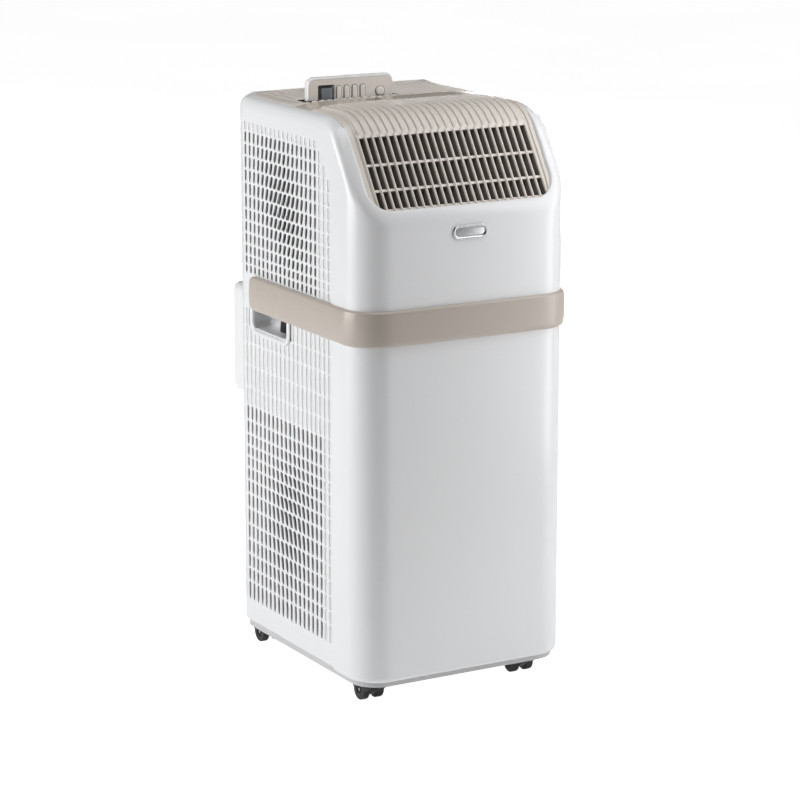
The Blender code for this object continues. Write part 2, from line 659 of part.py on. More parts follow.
def comb_outline(low, high, fins, groove):
    """Plan outline of a finned block: grooves cut in from both long faces."""
    pitch = (high[0] - low[0]) / fins
    front = []
    for i in range(fins):
        start = low[0] + pitch * i
        front += [(start, low[1]), (start + pitch * 0.55, low[1]),
                  (start + pitch * 0.55, low[1] + groove), (start + pitch, low[1] + groove)]
    front[-1] = (high[0], low[1] + groove)
    rear = [(x, low[1] + high[1] - y) for x, y in reversed(front)]
    return front + rear


def blower_wheel(centre, axis, radius, low, high, blades):
    """Drum of blades between two rings, with a closed back plate and a shaft hole."""
    wall = 0.008
    plate = 0.003
    drum = turned([(0.004, low), (radius, low), (radius, high), (radius - wall, high),
                   (radius - wall, low + plate), (0.004, low + plate)], centre, axis, 24)
    slots = []
    for i in range(blades):
        angle = 2 * math.pi * i / blades
        slot = box((radius - wall - 0.004, -0.0045, low + 0.008), (radius + 0.01, 0.0045, high - 0.006))
        turn = {"X": Matrix.Rotation(math.pi / 2, 4, "Y"), "Y": Matrix.Rotation(-math.pi / 2, 4, "X")}[axis]
        slot.data.transform(Matrix.Translation(centre) @ turn @ Matrix.Rotation(angle, 4, "Z"))
        slots.append(slot)
    for slot in slots:
        cut(drum, slot)
    return drum


def make_cold_side():
    """Upper chamber: evaporator coil, drum blower, its scroll and motor, and the control box."""
    coil = prism(comb_outline((-0.108, 0.098), (0.108, 0.130), 18, 0.003), "Z", 0.488, 0.655)
    finish(coil, "evaporator_coil", ALUMINIUM, (0, 0.114, 0.488))
    wheel = blower_wheel(EVAP_FAN, "X", 0.052, -0.078, 0.078, 12)
    finish(wheel, "evaporator_blower", BLACK, EVAP_FAN, smooth=True)
    motor = turned([(0.0, 0.084), (0.030, 0.084), (0.034, 0.088), (0.034, 0.120), (0.0, 0.120)],
                   EVAP_FAN, "X", 24)
    join(motor, rod(0.0035, EVAP_FAN, "X", -0.080, 0.086, 12))
    finish(motor, "evaporator_motor", STEEL, EVAP_FAN, smooth=True)
    steps = 14
    start, end = math.radians(150), math.radians(395)
    arc = [start + (end - start) * i / steps for i in range(steps + 1)]
    outer = [(EVAP_FAN.y + 0.062 * math.cos(a), EVAP_FAN.z + 0.062 * math.sin(a)) for a in arc]
    inner = [(EVAP_FAN.y + 0.060 * math.cos(a), EVAP_FAN.z + 0.060 * math.sin(a)) for a in reversed(arc)]
    scroll = prism(outer + inner, "X", -0.080, 0.080)
    finish(scroll, "evaporator_scroll", GREY, EVAP_FAN)
    control = box((-0.090, STRIP_FRONT + 0.003, 0.652), (0.090, STRIP_REAR - 0.003, 0.690))
    finish(control, "control_box", GREY, (0, (STRIP_FRONT + STRIP_REAR) / 2, 0.652))
    plate = prism(plan_outline(0.006), "Z", PARTITION_Z, PARTITION_Z + 0.003)
    finish(plate, "partition_plate", GREY, (0, 0, PARTITION_Z))


def make_warm_side():
    """Lower chamber: compressor, condenser coil, blower in its drum, motor, pipes, capacitor."""
    spot = Vector((-0.070, -0.085, 0.040))
    can = turned([(0.0, 0.0), (0.040, 0.0), (0.054, 0.012), (0.054, 0.150), (0.045, 0.172), (0.025, 0.182),
                  (0.0, 0.184)], spot, "Z", 24)
    finish(can, "compressor", BLACK, spot, smooth=True)
    coil = prism(comb_outline((-0.108, 0.098), (0.108, 0.130), 18, 0.003), "Z", 0.048, 0.272)
    finish(coil, "condenser_coil", ALUMINIUM, (0, 0.114, 0.048))
    wheel = blower_wheel(COND_FAN, "Y", 0.072, -0.025, 0.030, 12)
    finish(wheel, "condenser_blower", BLACK, COND_FAN, smooth=True)
    motor = turned([(0.0, -0.075), (0.034, -0.075), (0.034, -0.040), (0.030, -0.034), (0.0, -0.034)],
                   COND_FAN, "Y", 24)
    join(motor, rod(0.0035, COND_FAN, "Y", -0.036, -0.010, 12))
    finish(motor, "condenser_motor", STEEL, COND_FAN, smooth=True)
    reach = REAR - 0.004 - COND_FAN.y
    drum = turned([(0.083, -0.028), (0.085, -0.028), (0.085, 0.045), (0.050, reach), (0.048, reach),
                   (0.083, 0.043)], COND_FAN, "Y", 28)
    finish(drum, "condenser_drum", GREY, COND_FAN, smooth=True)
    spot = (0.085, -0.110, 0.040)
    can = turned([(0.0, 0.0), (0.019, 0.0), (0.019, 0.075), (0.0, 0.075)], spot, "Z", 20)
    finish(can, "run_capacitor", ALUMINIUM, spot, smooth=True)
    pipe("discharge_pipe", [(-0.070, -0.085, 0.2248), (-0.070, -0.085, 0.260), (-0.070, -0.060, 0.280),
                            (-0.085, 0.020, 0.284), (-0.096, 0.080, 0.284), (-0.100, 0.112, 0.284),
                            (-0.100, 0.114, 0.2728)])
    pipe("suction_pipe", [(-0.0155, -0.085, 0.120), (0.010, -0.085, 0.120), (0.020, -0.070, 0.120),
                          (0.060, 0.020, 0.120), (0.100, 0.080, 0.120), (0.106, 0.092, 0.120),
                          (0.106, 0.0972, 0.120)])


def pipe(name, points):
    """A bent copper tube through the given points, with closed ends."""
    curve = bpy.data.curves.new(name, "CURVE")
    curve.dimensions = "3D"
    curve.bevel_depth = 0.0032
    curve.bevel_resolution = 1
    curve.use_fill_caps = True
    run = curve.splines.new("POLY")
    run.points.add(len(points) - 1)
    for point, where in zip(run.points, points):
        point.co = (*where, 1.0)
    guide = bpy.data.objects.new(name, curve)
    bpy.context.scene.collection.objects.link(guide)
    depsgraph = bpy.context.evaluated_depsgraph_get()
    tube = bpy.data.objects.new(name, bpy.data.meshes.new_from_object(guide.evaluated_get(depsgraph)))
    bpy.context.scene.collection.objects.link(tube)
    bpy.data.objects.remove(guide)
    finish(tube, name, COPPER, points[0], smooth=True)


# ---------------------------------------------------------------- assembly

for old in list(bpy.data.objects):
    bpy.data.objects.remove(old)

make_shells()
make_belt_band()
make_hand_grips()
make_top_grille()
make_control_strip()
make_rear_cover()
make_remote_pocket()
make_remote()
make_exhaust()
make_filter()
make_rear_fittings()
make_badge()
make_base_pan()
make_casters()
make_cold_side()
make_warm_side()
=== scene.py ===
"""Floor-standing portable air conditioner with a beige outlet, belt band and remote control."""
import math

import bmesh
import bpy
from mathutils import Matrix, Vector


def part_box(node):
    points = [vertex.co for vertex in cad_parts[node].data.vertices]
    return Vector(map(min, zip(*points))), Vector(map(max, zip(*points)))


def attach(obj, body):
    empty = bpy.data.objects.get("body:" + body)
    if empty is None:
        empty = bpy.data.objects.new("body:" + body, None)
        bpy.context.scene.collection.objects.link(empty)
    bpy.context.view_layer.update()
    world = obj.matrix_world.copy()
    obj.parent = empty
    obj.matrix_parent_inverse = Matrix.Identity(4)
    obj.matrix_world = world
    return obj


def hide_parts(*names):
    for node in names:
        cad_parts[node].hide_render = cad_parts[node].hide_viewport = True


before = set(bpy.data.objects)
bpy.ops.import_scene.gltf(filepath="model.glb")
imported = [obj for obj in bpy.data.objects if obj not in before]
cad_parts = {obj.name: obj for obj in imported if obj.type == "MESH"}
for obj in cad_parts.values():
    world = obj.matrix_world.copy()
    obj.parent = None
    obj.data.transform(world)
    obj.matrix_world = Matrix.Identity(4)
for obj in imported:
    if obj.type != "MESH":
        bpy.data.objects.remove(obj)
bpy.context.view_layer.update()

# ------------------------------------------------------------ studio
# The unit stands on a pale plain floor. Large soft boxes light the left side, the front and the top,
# and a long lens looks slightly down on the front left corner.

camera_data = bpy.data.cameras.new("camera")
camera_data.sensor_width = 36.0
camera_data.lens = 135.0
camera_data.shift_y = -0.0375
camera = bpy.data.objects.new("camera", camera_data)
bpy.context.scene.collection.objects.link(camera)
camera.location = (-1.767, -3.104, 1.174)
heading, tilt = math.radians(-29.76), math.radians(12.75)
towards = Vector((-math.sin(heading) * math.cos(tilt), math.cos(heading) * math.cos(tilt), -math.sin(tilt)))
camera.rotation_mode = "QUATERNION"
camera.rotation_quaternion = towards.to_track_quat("-Z", "Y")
bpy.context.scene.camera = camera


def soft_box(name, place, target, width, height, power, colour=(1.0, 1.0, 1.0)):
    """A rectangular lamp aimed at a point."""
    data = bpy.data.lights.new(name, "AREA")
    data.shape = "RECTANGLE"
    data.size, data.size_y = width, height
    data.energy = power
    data.color = colour
    lamp = bpy.data.objects.new(name, data)
    bpy.context.scene.collection.objects.link(lamp)
    lamp.visible_camera = False
    lamp.location = place
    aim = Vector(target) - Vector(place)
    lamp.rotation_mode = "QUATERNION"
    lamp.rotation_quaternion = aim.to_track_quat("-Z", "Y")


soft_box("side_box", (-2.25, 0.80, 1.0), (0, 0, 0.38), 1.6, 1.8, 46.0)
soft_box("front_box", (0.52, -0.50, 0.62), (0.08, 0, 0.42), 0.4, 1.1, 3.9)
soft_box("top_box", (0.1, -0.45, 2.3), (0, 0, 0.5), 1.6, 1.2, 17.5)
soft_box("rear_box", (1.4, 2.0, 0.45), (0, 0, 0.35), 1.5, 0.7, 16.0)

world = bpy.data.worlds.new("studio")
world.use_nodes = True
sky = world.node_tree.nodes["Background"]
path = world.node_tree.nodes.new("ShaderNodeLightPath")
level = world.node_tree.nodes.new("ShaderNodeMapRange")
level.inputs["To Min"].default_value = 0.28
level.inputs["To Max"].default_value = 1.02
world.node_tree.links.new(path.outputs["Is Camera Ray"], level.inputs["Value"])
world.node_tree.links.new(level.outputs["Result"], sky.inputs["Strength"])
bpy.context.scene.world = world
bpy.context.scene.view_settings.view_transform = "Standard"

floor_bm = bmesh.new()
spokes = 96
hub = floor_bm.verts.new((0.0, 0.0, 0.0))
rim = [floor_bm.verts.new((30.0 * math.cos(2 * math.pi * i / spokes), 30.0 * math.sin(2 * math.pi * i / spokes), 0.0))
       for i in range(spokes)]
for i in range(spokes):
    floor_bm.faces.new((hub, rim[i], rim[(i + 1) % spokes]))
floor_mesh = bpy.data.meshes.new("studio_floor")
floor_bm.to_mesh(floor_mesh)
floor_bm.free()
floor = bpy.data.objects.new("studio_floor", floor_mesh)
bpy.context.scene.collection.objects.link(floor)

paper = bpy.data.materials.new("backdrop_paper")
paper.use_nodes = True
nodes, links = paper.node_tree.nodes, paper.node_tree.links
shader = nodes["Principled BSDF"]
fibre = nodes.new("ShaderNodeTexNoise")
fibre.inputs["Scale"].default_value = 60.0
shade = nodes.new("ShaderNodeMix")
shade.data_type = "RGBA"
shade.inputs[6].default_value = (0.90, 0.90, 0.90, 1.0)
shade.inputs[7].default_value = (0.94, 0.94, 0.94, 1.0)
links.new(fibre.outputs["Fac"], shade.inputs[0])
links.new(shade.outputs[2], shader.inputs["Base Color"])
links.new(shade.outputs[2], shader.inputs["Emission Color"])
seen = nodes.new("ShaderNodeLightPath")
glow = nodes.new("ShaderNodeMapRange")
glow.inputs["To Min"].default_value = 0.25
glow.inputs["To Max"].default_value = 1.05
links.new(seen.outputs["Is Camera Ray"], glow.inputs["Value"])
links.new(glow.outputs["Result"], shader.inputs["Emission Strength"])
shader.inputs["Roughness"].default_value = 0.9
floor.data.materials.append(paper)

# ------------------------------------------------------------ front shells
# Two thin white mouldings wrap the front from seam to seam: a tall lower one, and an upper one whose
# top edge rolls over to frame the sloping outlet. They are injection moulded in gloss plastic.


def effect_group(name, inputs, outputs):
    """An empty shader group with its sockets: inputs as (kind, label, value), outputs as (kind, label)."""
    tree = bpy.data.node_groups.new(name, "ShaderNodeTree")
    for kind, label, value in inputs:
        socket = tree.interface.new_socket(label, in_out="INPUT", socket_type="NodeSocket" + kind)
        socket.default_value = value
    for kind, label in outputs:
        tree.interface.new_socket(label, in_out="OUTPUT", socket_type="NodeSocket" + kind)
    return tree, tree.nodes.new("NodeGroupInput"), tree.nodes.new("NodeGroupOutput")


def scaled(tree, source, low, high, new_low, new_high):
    """A value mapped from one range to another; the new limits may be numbers or sockets."""
    step = tree.nodes.new("ShaderNodeMapRange")
    step.interpolation_type = "SMOOTHSTEP"
    tree.links.new(source, step.inputs["Value"])
    for label, value in [("From Min", low), ("From Max", high), ("To Min", new_low), ("To Max", new_high)]:
        if isinstance(value, (int, float)):
            step.inputs[label].default_value = value
        else:
            tree.links.new(value, step.inputs[label])
    return step.outputs["Result"]


def worked(tree, operation, first, second):
    """One sum on two values, each a number or a socket."""
    step = tree.nodes.new("ShaderNodeMath")
    step.operation = operation
    for socket, value in zip(step.inputs, (first, second)):
        if isinstance(value, (int, float)):
            socket.default_value = value
        else:
            tree.links.new(value, socket)
    return step.outputs[0]


def speckle(tree, scale, detail=2.0):
    """Noise over the piece's own metres."""
    place = tree.nodes.new("ShaderNodeTexCoord")
    noise = tree.nodes.new("ShaderNodeTexNoise")
    tree.links.new(place.outputs["Object"], noise.inputs["Vector"])
    if isinstance(scale, (int, float)):
        noise.inputs["Scale"].default_value = scale
    else:
        tree.links.new(scale, noise.inputs["Scale"])
    noise.inputs["Detail"].default_value = detail
    return noise.outputs["Fac"]


# Fine moulded grain, with gloss that varies slowly over the piece
grain_tree, given, made = effect_group(
    "moulded_grain",
    [("Float", "Grain Scale", 900.0), ("Float", "Roughness", 0.3), ("Float", "Spread", 0.05)],
    [("Float", "Height"), ("Float", "Roughness")])
grain_tree.links.new(speckle(grain_tree, given.outputs["Grain Scale"]), made.inputs["Height"])
least = worked(grain_tree, "SUBTRACT", given.outputs["Roughness"], given.outputs["Spread"])
most = worked(grain_tree, "ADD", given.outputs["Roughness"], given.outputs["Spread"])
cloudy = scaled(grain_tree, speckle(grain_tree, 11.0, 1.0), 0.1, 0.9, least, most)
grain_tree.links.new(cloudy, made.inputs["Roughness"])

# Slow drift of the colour, rubbed edges, and a little dust on faces that look up
age_tree, given, made = effect_group(
    "aged_colour",
    [("Color", "Colour", (0.8, 0.8, 0.8, 1.0)), ("Color", "Drift Colour", (0.7, 0.7, 0.7, 1.0)),
     ("Float", "Drift", 0.3), ("Float", "Edge Wear", 0.2), ("Float", "Dust", 0.1)],
    [("Color", "Colour"), ("Float", "Dust Mask")])


def tinted(tree, share, first, second):
    """Two colours mixed by a share; each colour is a socket or four numbers."""
    step = tree.nodes.new("ShaderNodeMix")
    step.data_type = "RGBA"
    tree.links.new(share, step.inputs[0])
    for socket, value in ((step.inputs[6], first), (step.inputs[7], second)):
        if isinstance(value, tuple):
            socket.default_value = value
        else:
            tree.links.new(value, socket)
    return step.outputs[2]


drift = worked(age_tree, "MULTIPLY", scaled(age_tree, speckle(age_tree, 5.0, 1.0), 0.1, 0.9, 0.0, 1.0),
               given.outputs["Drift"])
base = tinted(age_tree, drift, given.outputs["Colour"], given.outputs["Drift Colour"])
shape = age_tree.nodes.new("ShaderNodeNewGeometry")
corner = scaled(age_tree, shape.outputs["Pointiness"], 0.52, 0.62, 0.0, 1.0)
rubbed = worked(age_tree, "MULTIPLY", worked(age_tree, "MULTIPLY", corner, given.outputs["Edge Wear"]),
                speckle(age_tree, 260.0))
base = tinted(age_tree, rubbed, base, (1.0, 1.0, 1.0, 1.0))
split = age_tree.nodes.new("ShaderNodeSeparateXYZ")
age_tree.links.new(shape.outputs["Normal"], split.inputs[0])
up = scaled(age_tree, split.outputs["Z"], 0.6, 1.0, 0.0, 1.0)
settled = worked(age_tree, "MULTIPLY", worked(age_tree, "MULTIPLY", up, given.outputs["Dust"]),
                 scaled(age_tree, speckle(age_tree, 420.0, 5.0), 0.45, 0.75, 0.0, 1.0))
age_tree.links.new(tinted(age_tree, settled, base, (0.62, 0.59, 0.55, 1.0)), made.inputs["Colour"])
age_tree.links.new(settled, made.inputs["Dust Mask"])


def moulding(name, colour, drift_colour, roughness, spread=0.04, grain=900.0, bump=0.02, drift=0.4,
             wear=0.15, dust=0.12, metallic=0.0, coat=0.0, ior=1.5):
    """A finish made with the grain and the aged colour."""
    finish = bpy.data.materials.new(name)
    finish.use_nodes = True
    tree = finish.node_tree
    shader = tree.nodes["Principled BSDF"]
    age = tree.nodes.new("ShaderNodeGroup")
    age.node_tree = age_tree
    age.inputs["Colour"].default_value = (*colour, 1.0)
    age.inputs["Drift Colour"].default_value = (*drift_colour, 1.0)
    age.inputs["Drift"].default_value = drift
    age.inputs["Edge Wear"].default_value = wear
    age.inputs["Dust"].default_value = dust
    skin = tree.nodes.new("ShaderNodeGroup")
    skin.node_tree = grain_tree
    skin.inputs["Grain Scale"].default_value = grain
    skin.inputs["Roughness"].default_value = roughness
    skin.inputs["Spread"].default_value = spread
    relief = tree.nodes.new("ShaderNodeBump")
    relief.inputs["Strength"].default_value = bump
    relief.inputs["Distance"].default_value = 0.001
    tree.links.new(skin.outputs["Height"], relief.inputs["Height"])
    tree.links.new(relief.outputs["Normal"], shader.inputs["Normal"])
    tree.links.new(age.outputs["Colour"], shader.inputs["Base Color"])
    dulled = worked(tree, "ADD", skin.outputs["Roughness"], worked(tree, "MULTIPLY", age.outputs["Dust Mask"], 0.5))
    tree.links.new(dulled, shader.inputs["Roughness"])
    shader.inputs["Metallic"].default_value = metallic
    shader.inputs["Coat Weight"].default_value = coat
    shader.inputs["Coat Roughness"].default_value = 0.08
    shader.inputs["IOR"].default_value = ior
    return finish


white_gloss = moulding("white_gloss", (0.82, 0.825, 0.835), (0.80, 0.81, 0.825), 0.25, spread=0.02, bump=0.012,
                       dust=0.04, wear=0.03, coat=0.2)

left, front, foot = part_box("lower_front_shell")[0]
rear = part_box("rear_panel")[1].y
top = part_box("side_panel_left")[1].z
half_width = -left
seam = front + 0.070
front_radius = 0.038
rear_radius = 0.022
wall = 0.0025
slope_start = 0.584
slope_angle = math.radians(56.3)
roll_radius = 0.0595
outlet_half = 0.1262
outlet_corner = (0.030, 0.018)
outlet_foot = front + 0.006
edge_drop = 0.014


def smooth_step(value, low, high):
    """0 below low, 1 above high, and an even curve between."""
    share = min(1.0, max(0.0, (value - low) / (high - low)))
    return share * share * (3 - 2 * share)


def crest(y):
    """Height of the outer surface along the middle at a depth: slope, roll, flat top, rear roll."""
    meet = front + (top - slope_start) / math.tan(slope_angle)
    reach = roll_radius * math.tan(slope_angle / 2)
    if y < meet - reach * math.cos(slope_angle):
        return slope_start + (y - front) * math.tan(slope_angle)
    if y < meet + reach:
        return top - roll_radius + math.sqrt(max(0.0, roll_radius ** 2 - (y - meet - reach) ** 2))
    back = 0.018
    if y > rear - back:
        return top - back + math.sqrt(max(0.0, back ** 2 - (y - rear + back) ** 2))
    return top


def top_surface(x, y):
    """Height of the outer surface: the crest, sinking a little towards both sides behind the slope."""
    sink = max(0.0, abs(x) - 0.080) ** 2 / 0.49
    return crest(y) - sink * smooth_step(y, front + 0.040, front + 0.110)


def edge_line(y):
    """Half width of the beige top at a depth."""
    return outlet_half + 0.0018 * smooth_step(y, front + 0.05, front + 0.11)


def outlet_edge(steps):
    """Plan of the outlet's edge from the left seam forward, round both lower corners, to the right seam."""
    across, deep = outlet_corner
    left_half = []
    start = outlet_foot + deep
    corner_start = front + front_radius
    for i in range(steps[0]):
        left_half.append((-edge_line(seam), seam + (corner_start - seam) * i / steps[0]))
    for i in range(steps[1]):
        share = i / steps[1]
        angle = math.pi / 2 * max(0.0, (share - 0.3) / 0.7)
        y = corner_start + (start - corner_start) * min(1.0, share / 0.3) - deep * math.sin(angle)
        left_half.append((-outlet_half + across * (1 - math.cos(angle)), y))
    for i in range(steps[2] + 1):
        left_half.append(((-outlet_half + across) * (1 - i / steps[2]), outlet_foot))
    return left_half + [(-x, y) for x, y in reversed(left_half[:-1])]


def front_plan(steps):
    """Plan of the outer wall with the same number of points as the outlet's edge, and outward normals."""
    points = []
    start = front + front_radius
    for i in range(steps[0]):
        points.append(((-half_width, seam + (start - seam) * i / steps[0]), (-1.0, 0.0)))
    for i in range(steps[1]):
        angle = math.pi / 2 * i / steps[1]
        aim = (-math.cos(angle), -math.sin(angle))
        points.append(((-half_width + front_radius + front_radius * aim[0], start + front_radius * aim[1]), aim))
    for i in range(steps[2] + 1):
        points.append((((-half_width + front_radius) * (1 - i / steps[2]), front), (0.0, -1.0)))
    return points + [((-p[0], p[1]), (-n[0], n[1])) for p, n in reversed(points[:-1])]


def brow(point, edge, drop, lip=0.0012):
    """Cross-section from the outer wall over the rounded brow to the outlet's edge and down its lip."""
    corner = Vector((point[0], point[1], top_surface(*point)))
    low = corner - Vector((0, 0, drop))
    inner = Vector((edge[0], edge[1], top_surface(*edge)))
    outward = (corner - inner)
    outward.z = 0.0
    outward.normalize()
    section = []
    for i in range(9):
        t = i / 8
        section.append(low * (1 - t) ** 2 + corner * 2 * t * (1 - t) + inner * t ** 2)
    rise = (section[-1] - section[-2]).normalized()
    section[-1] = inner - rise * lip * 0.5
    for share in (0.0, 0.5, 1.0):
        angle = math.pi / 2 * share
        section.append(inner - outward * lip * 0.6 * math.sin(angle) - Vector((0, 0, lip * (1 - math.cos(angle)))))
    section.append(section[-1] - Vector((0, 0, 0.0035)))
    return section


def grid_mesh(name, lines, closed=False):
    """A smooth mesh through lines of points, each line joined to the next."""
    count = len(lines[0])
    verts = [tuple(point) for line in lines for point in line]
    faces = []
    for row in range(len(lines) - (0 if closed else 1)):
        after = (row + 1) % len(lines)
        for i in range(count - 1):
            faces.append((row * count + i, row * count + i + 1, after * count + i + 1, after * count + i))
    mesh = bpy.data.meshes.new(name)
    mesh.from_pydata(verts, [], faces)
    mesh.shade_smooth()
    return mesh


def new_piece(name, mesh, finish, body="cabinet", stands_for=()):
    """Link a mesh as a piece, with its finish, on its body."""
    piece = bpy.data.objects.new(name, mesh)
    bpy.context.scene.collection.objects.link(piece)
    piece.data.materials.append(finish)
    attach(piece, body)
    if stands_for:
        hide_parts(*stands_for)
    return piece


def thickened(piece, depth, soft=0.0004):
    """Give an open skin its wall, and take the sharpness off the edges this makes."""
    solid = piece.modifiers.new("wall", "SOLIDIFY")
    solid.thickness = depth
    solid.offset = -1.0
    softened(piece, soft)


def softened(piece, width, segments=2, angle=40.0):
    """Round the sharp edges of a piece by a small radius."""
    edge = piece.modifiers.new("edges", "BEVEL")
    edge.width = width
    edge.segments = segments
    edge.limit_method = "ANGLE"
    edge.angle_limit = math.radians(angle)
    edge.use_clamp_overlap = True
    edge.harden_normals = True


steps = (14, 16, 22)
lower_lines = []
for (x, y), (nx, ny) in front_plan(steps):
    line = []
    for depth, z in [(0.0030, foot), (0.0016, foot + 0.0005), (0.0006, foot + 0.0018), (0.0001, foot + 0.0040),
                     (0.0, foot + 0.0065), (0.0, 0.15), (0.0, 0.26), (0.0, 0.37), (0.0, 0.4598)]:
        line.append((x - nx * depth, y - ny * depth, z))
    lower_lines.append(line)
lower_shell = new_piece("lower_front_shell_skin", grid_mesh("lower_front_shell_skin", lower_lines), white_gloss,
                        stands_for=("lower_front_shell",))
thickened(lower_shell, wall)

upper_lines = []
for ((x, y), _), edge in zip(front_plan(steps), outlet_edge(steps)):
    drop = 0.008 + (edge_drop - 0.008) * smooth_step(y, front, front + 0.030)
    section = brow((x, y), edge, drop)
    first = section[0]
    wall_line = [(x, y, 0.4602 + (first.z - 0.4602) * share) for share in (0.0, 0.3, 0.6, 0.85, 0.95)]
    upper_lines.append(wall_line + section)
upper_shell = new_piece("upper_front_shell_skin", grid_mesh("upper_front_shell_skin", upper_lines), white_gloss,
                        stands_for=("upper_front_shell",))
thickened(upper_shell, wall)

# ------------------------------------------------------------ side panels
# Each side is a white moulding from the front seam round the rear corner. Its field of slots is open in
# the middle, where they lean and widen, and blind towards the edges and behind the belt band.

column_pitch = 0.0111
first_column = front + 0.0807
slot_rows = [0.6677, 0.656, 0.6407, 0.6254, 0.6093, 0.5931, 0.5767, 0.5606, 0.5458, 0.5312, 0.5169, 0.5035, 0.492,
             0.4805, 0.4385, 0.4157, 0.3944, 0.3661, 0.3383, 0.3158, 0.2959, 0.2783, 0.2636, 0.2493, 0.2351,
             0.2192, 0.2021, 0.1829, 0.1624, 0.1432, 0.1239, 0.1058, 0.0888, 0.0645]
upper_field = range(0, 13)
middle_field = range(14, 19)
lower_field = range(19, 33)
rear_flat = rear - rear_radius
grip_low, grip_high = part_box("hand_grip_left")


def side_place(run, depth=0.0, side=-1):
    """Plan point on the side wall a given way back from the seam, round the rear corner to the rear."""
    straight = rear_flat - seam
    if run <= straight:
        return side * (half_width - depth), seam + run
    angle = (run - straight) / rear_radius
    if angle <= math.pi / 2:
        reach = rear_radius - depth
        return (side * (half_width - rear_radius + reach * math.cos(angle)), rear_flat + reach * math.sin(angle))
    past = run - straight - rear_radius * math.pi / 2
    return side * (half_width - rear_radius - past), rear - depth


def slot_kind(column, row):
    """Width, lean and depth of the slot in a column and row, or None where the wall is plain."""
    if row in upper_field:
        if column < 3 - row:
            return None
        across = math.exp(-((column - 10.5 + 0.35 * (row - 5)) / 4.6) ** 2)
        along = math.exp(-((row - 5.5) / 4.6) ** 2)
        share = across * along if row > 0 else 0.0
        blind = row == 0 or column < 3 or column > 19
        return 0.0046 + 0.0036 * share, 0.0056 * share, wall if not blind else 0.0010
    if row in middle_field:
        return 0.0044, 0.0, 0.0009
    if row in lower_field:
        across = math.exp(-((column - 9.0 - 0.25 * (row - 26)) / 5.0) ** 2)
        along = math.exp(-((row - 25.5) / 5.0) ** 2)
        share = across * along
        blind = column < 2 or column > 19
        return 0.0046 + 0.0032 * share, -0.0052 * share, wall if not blind else 0.0010
    return None


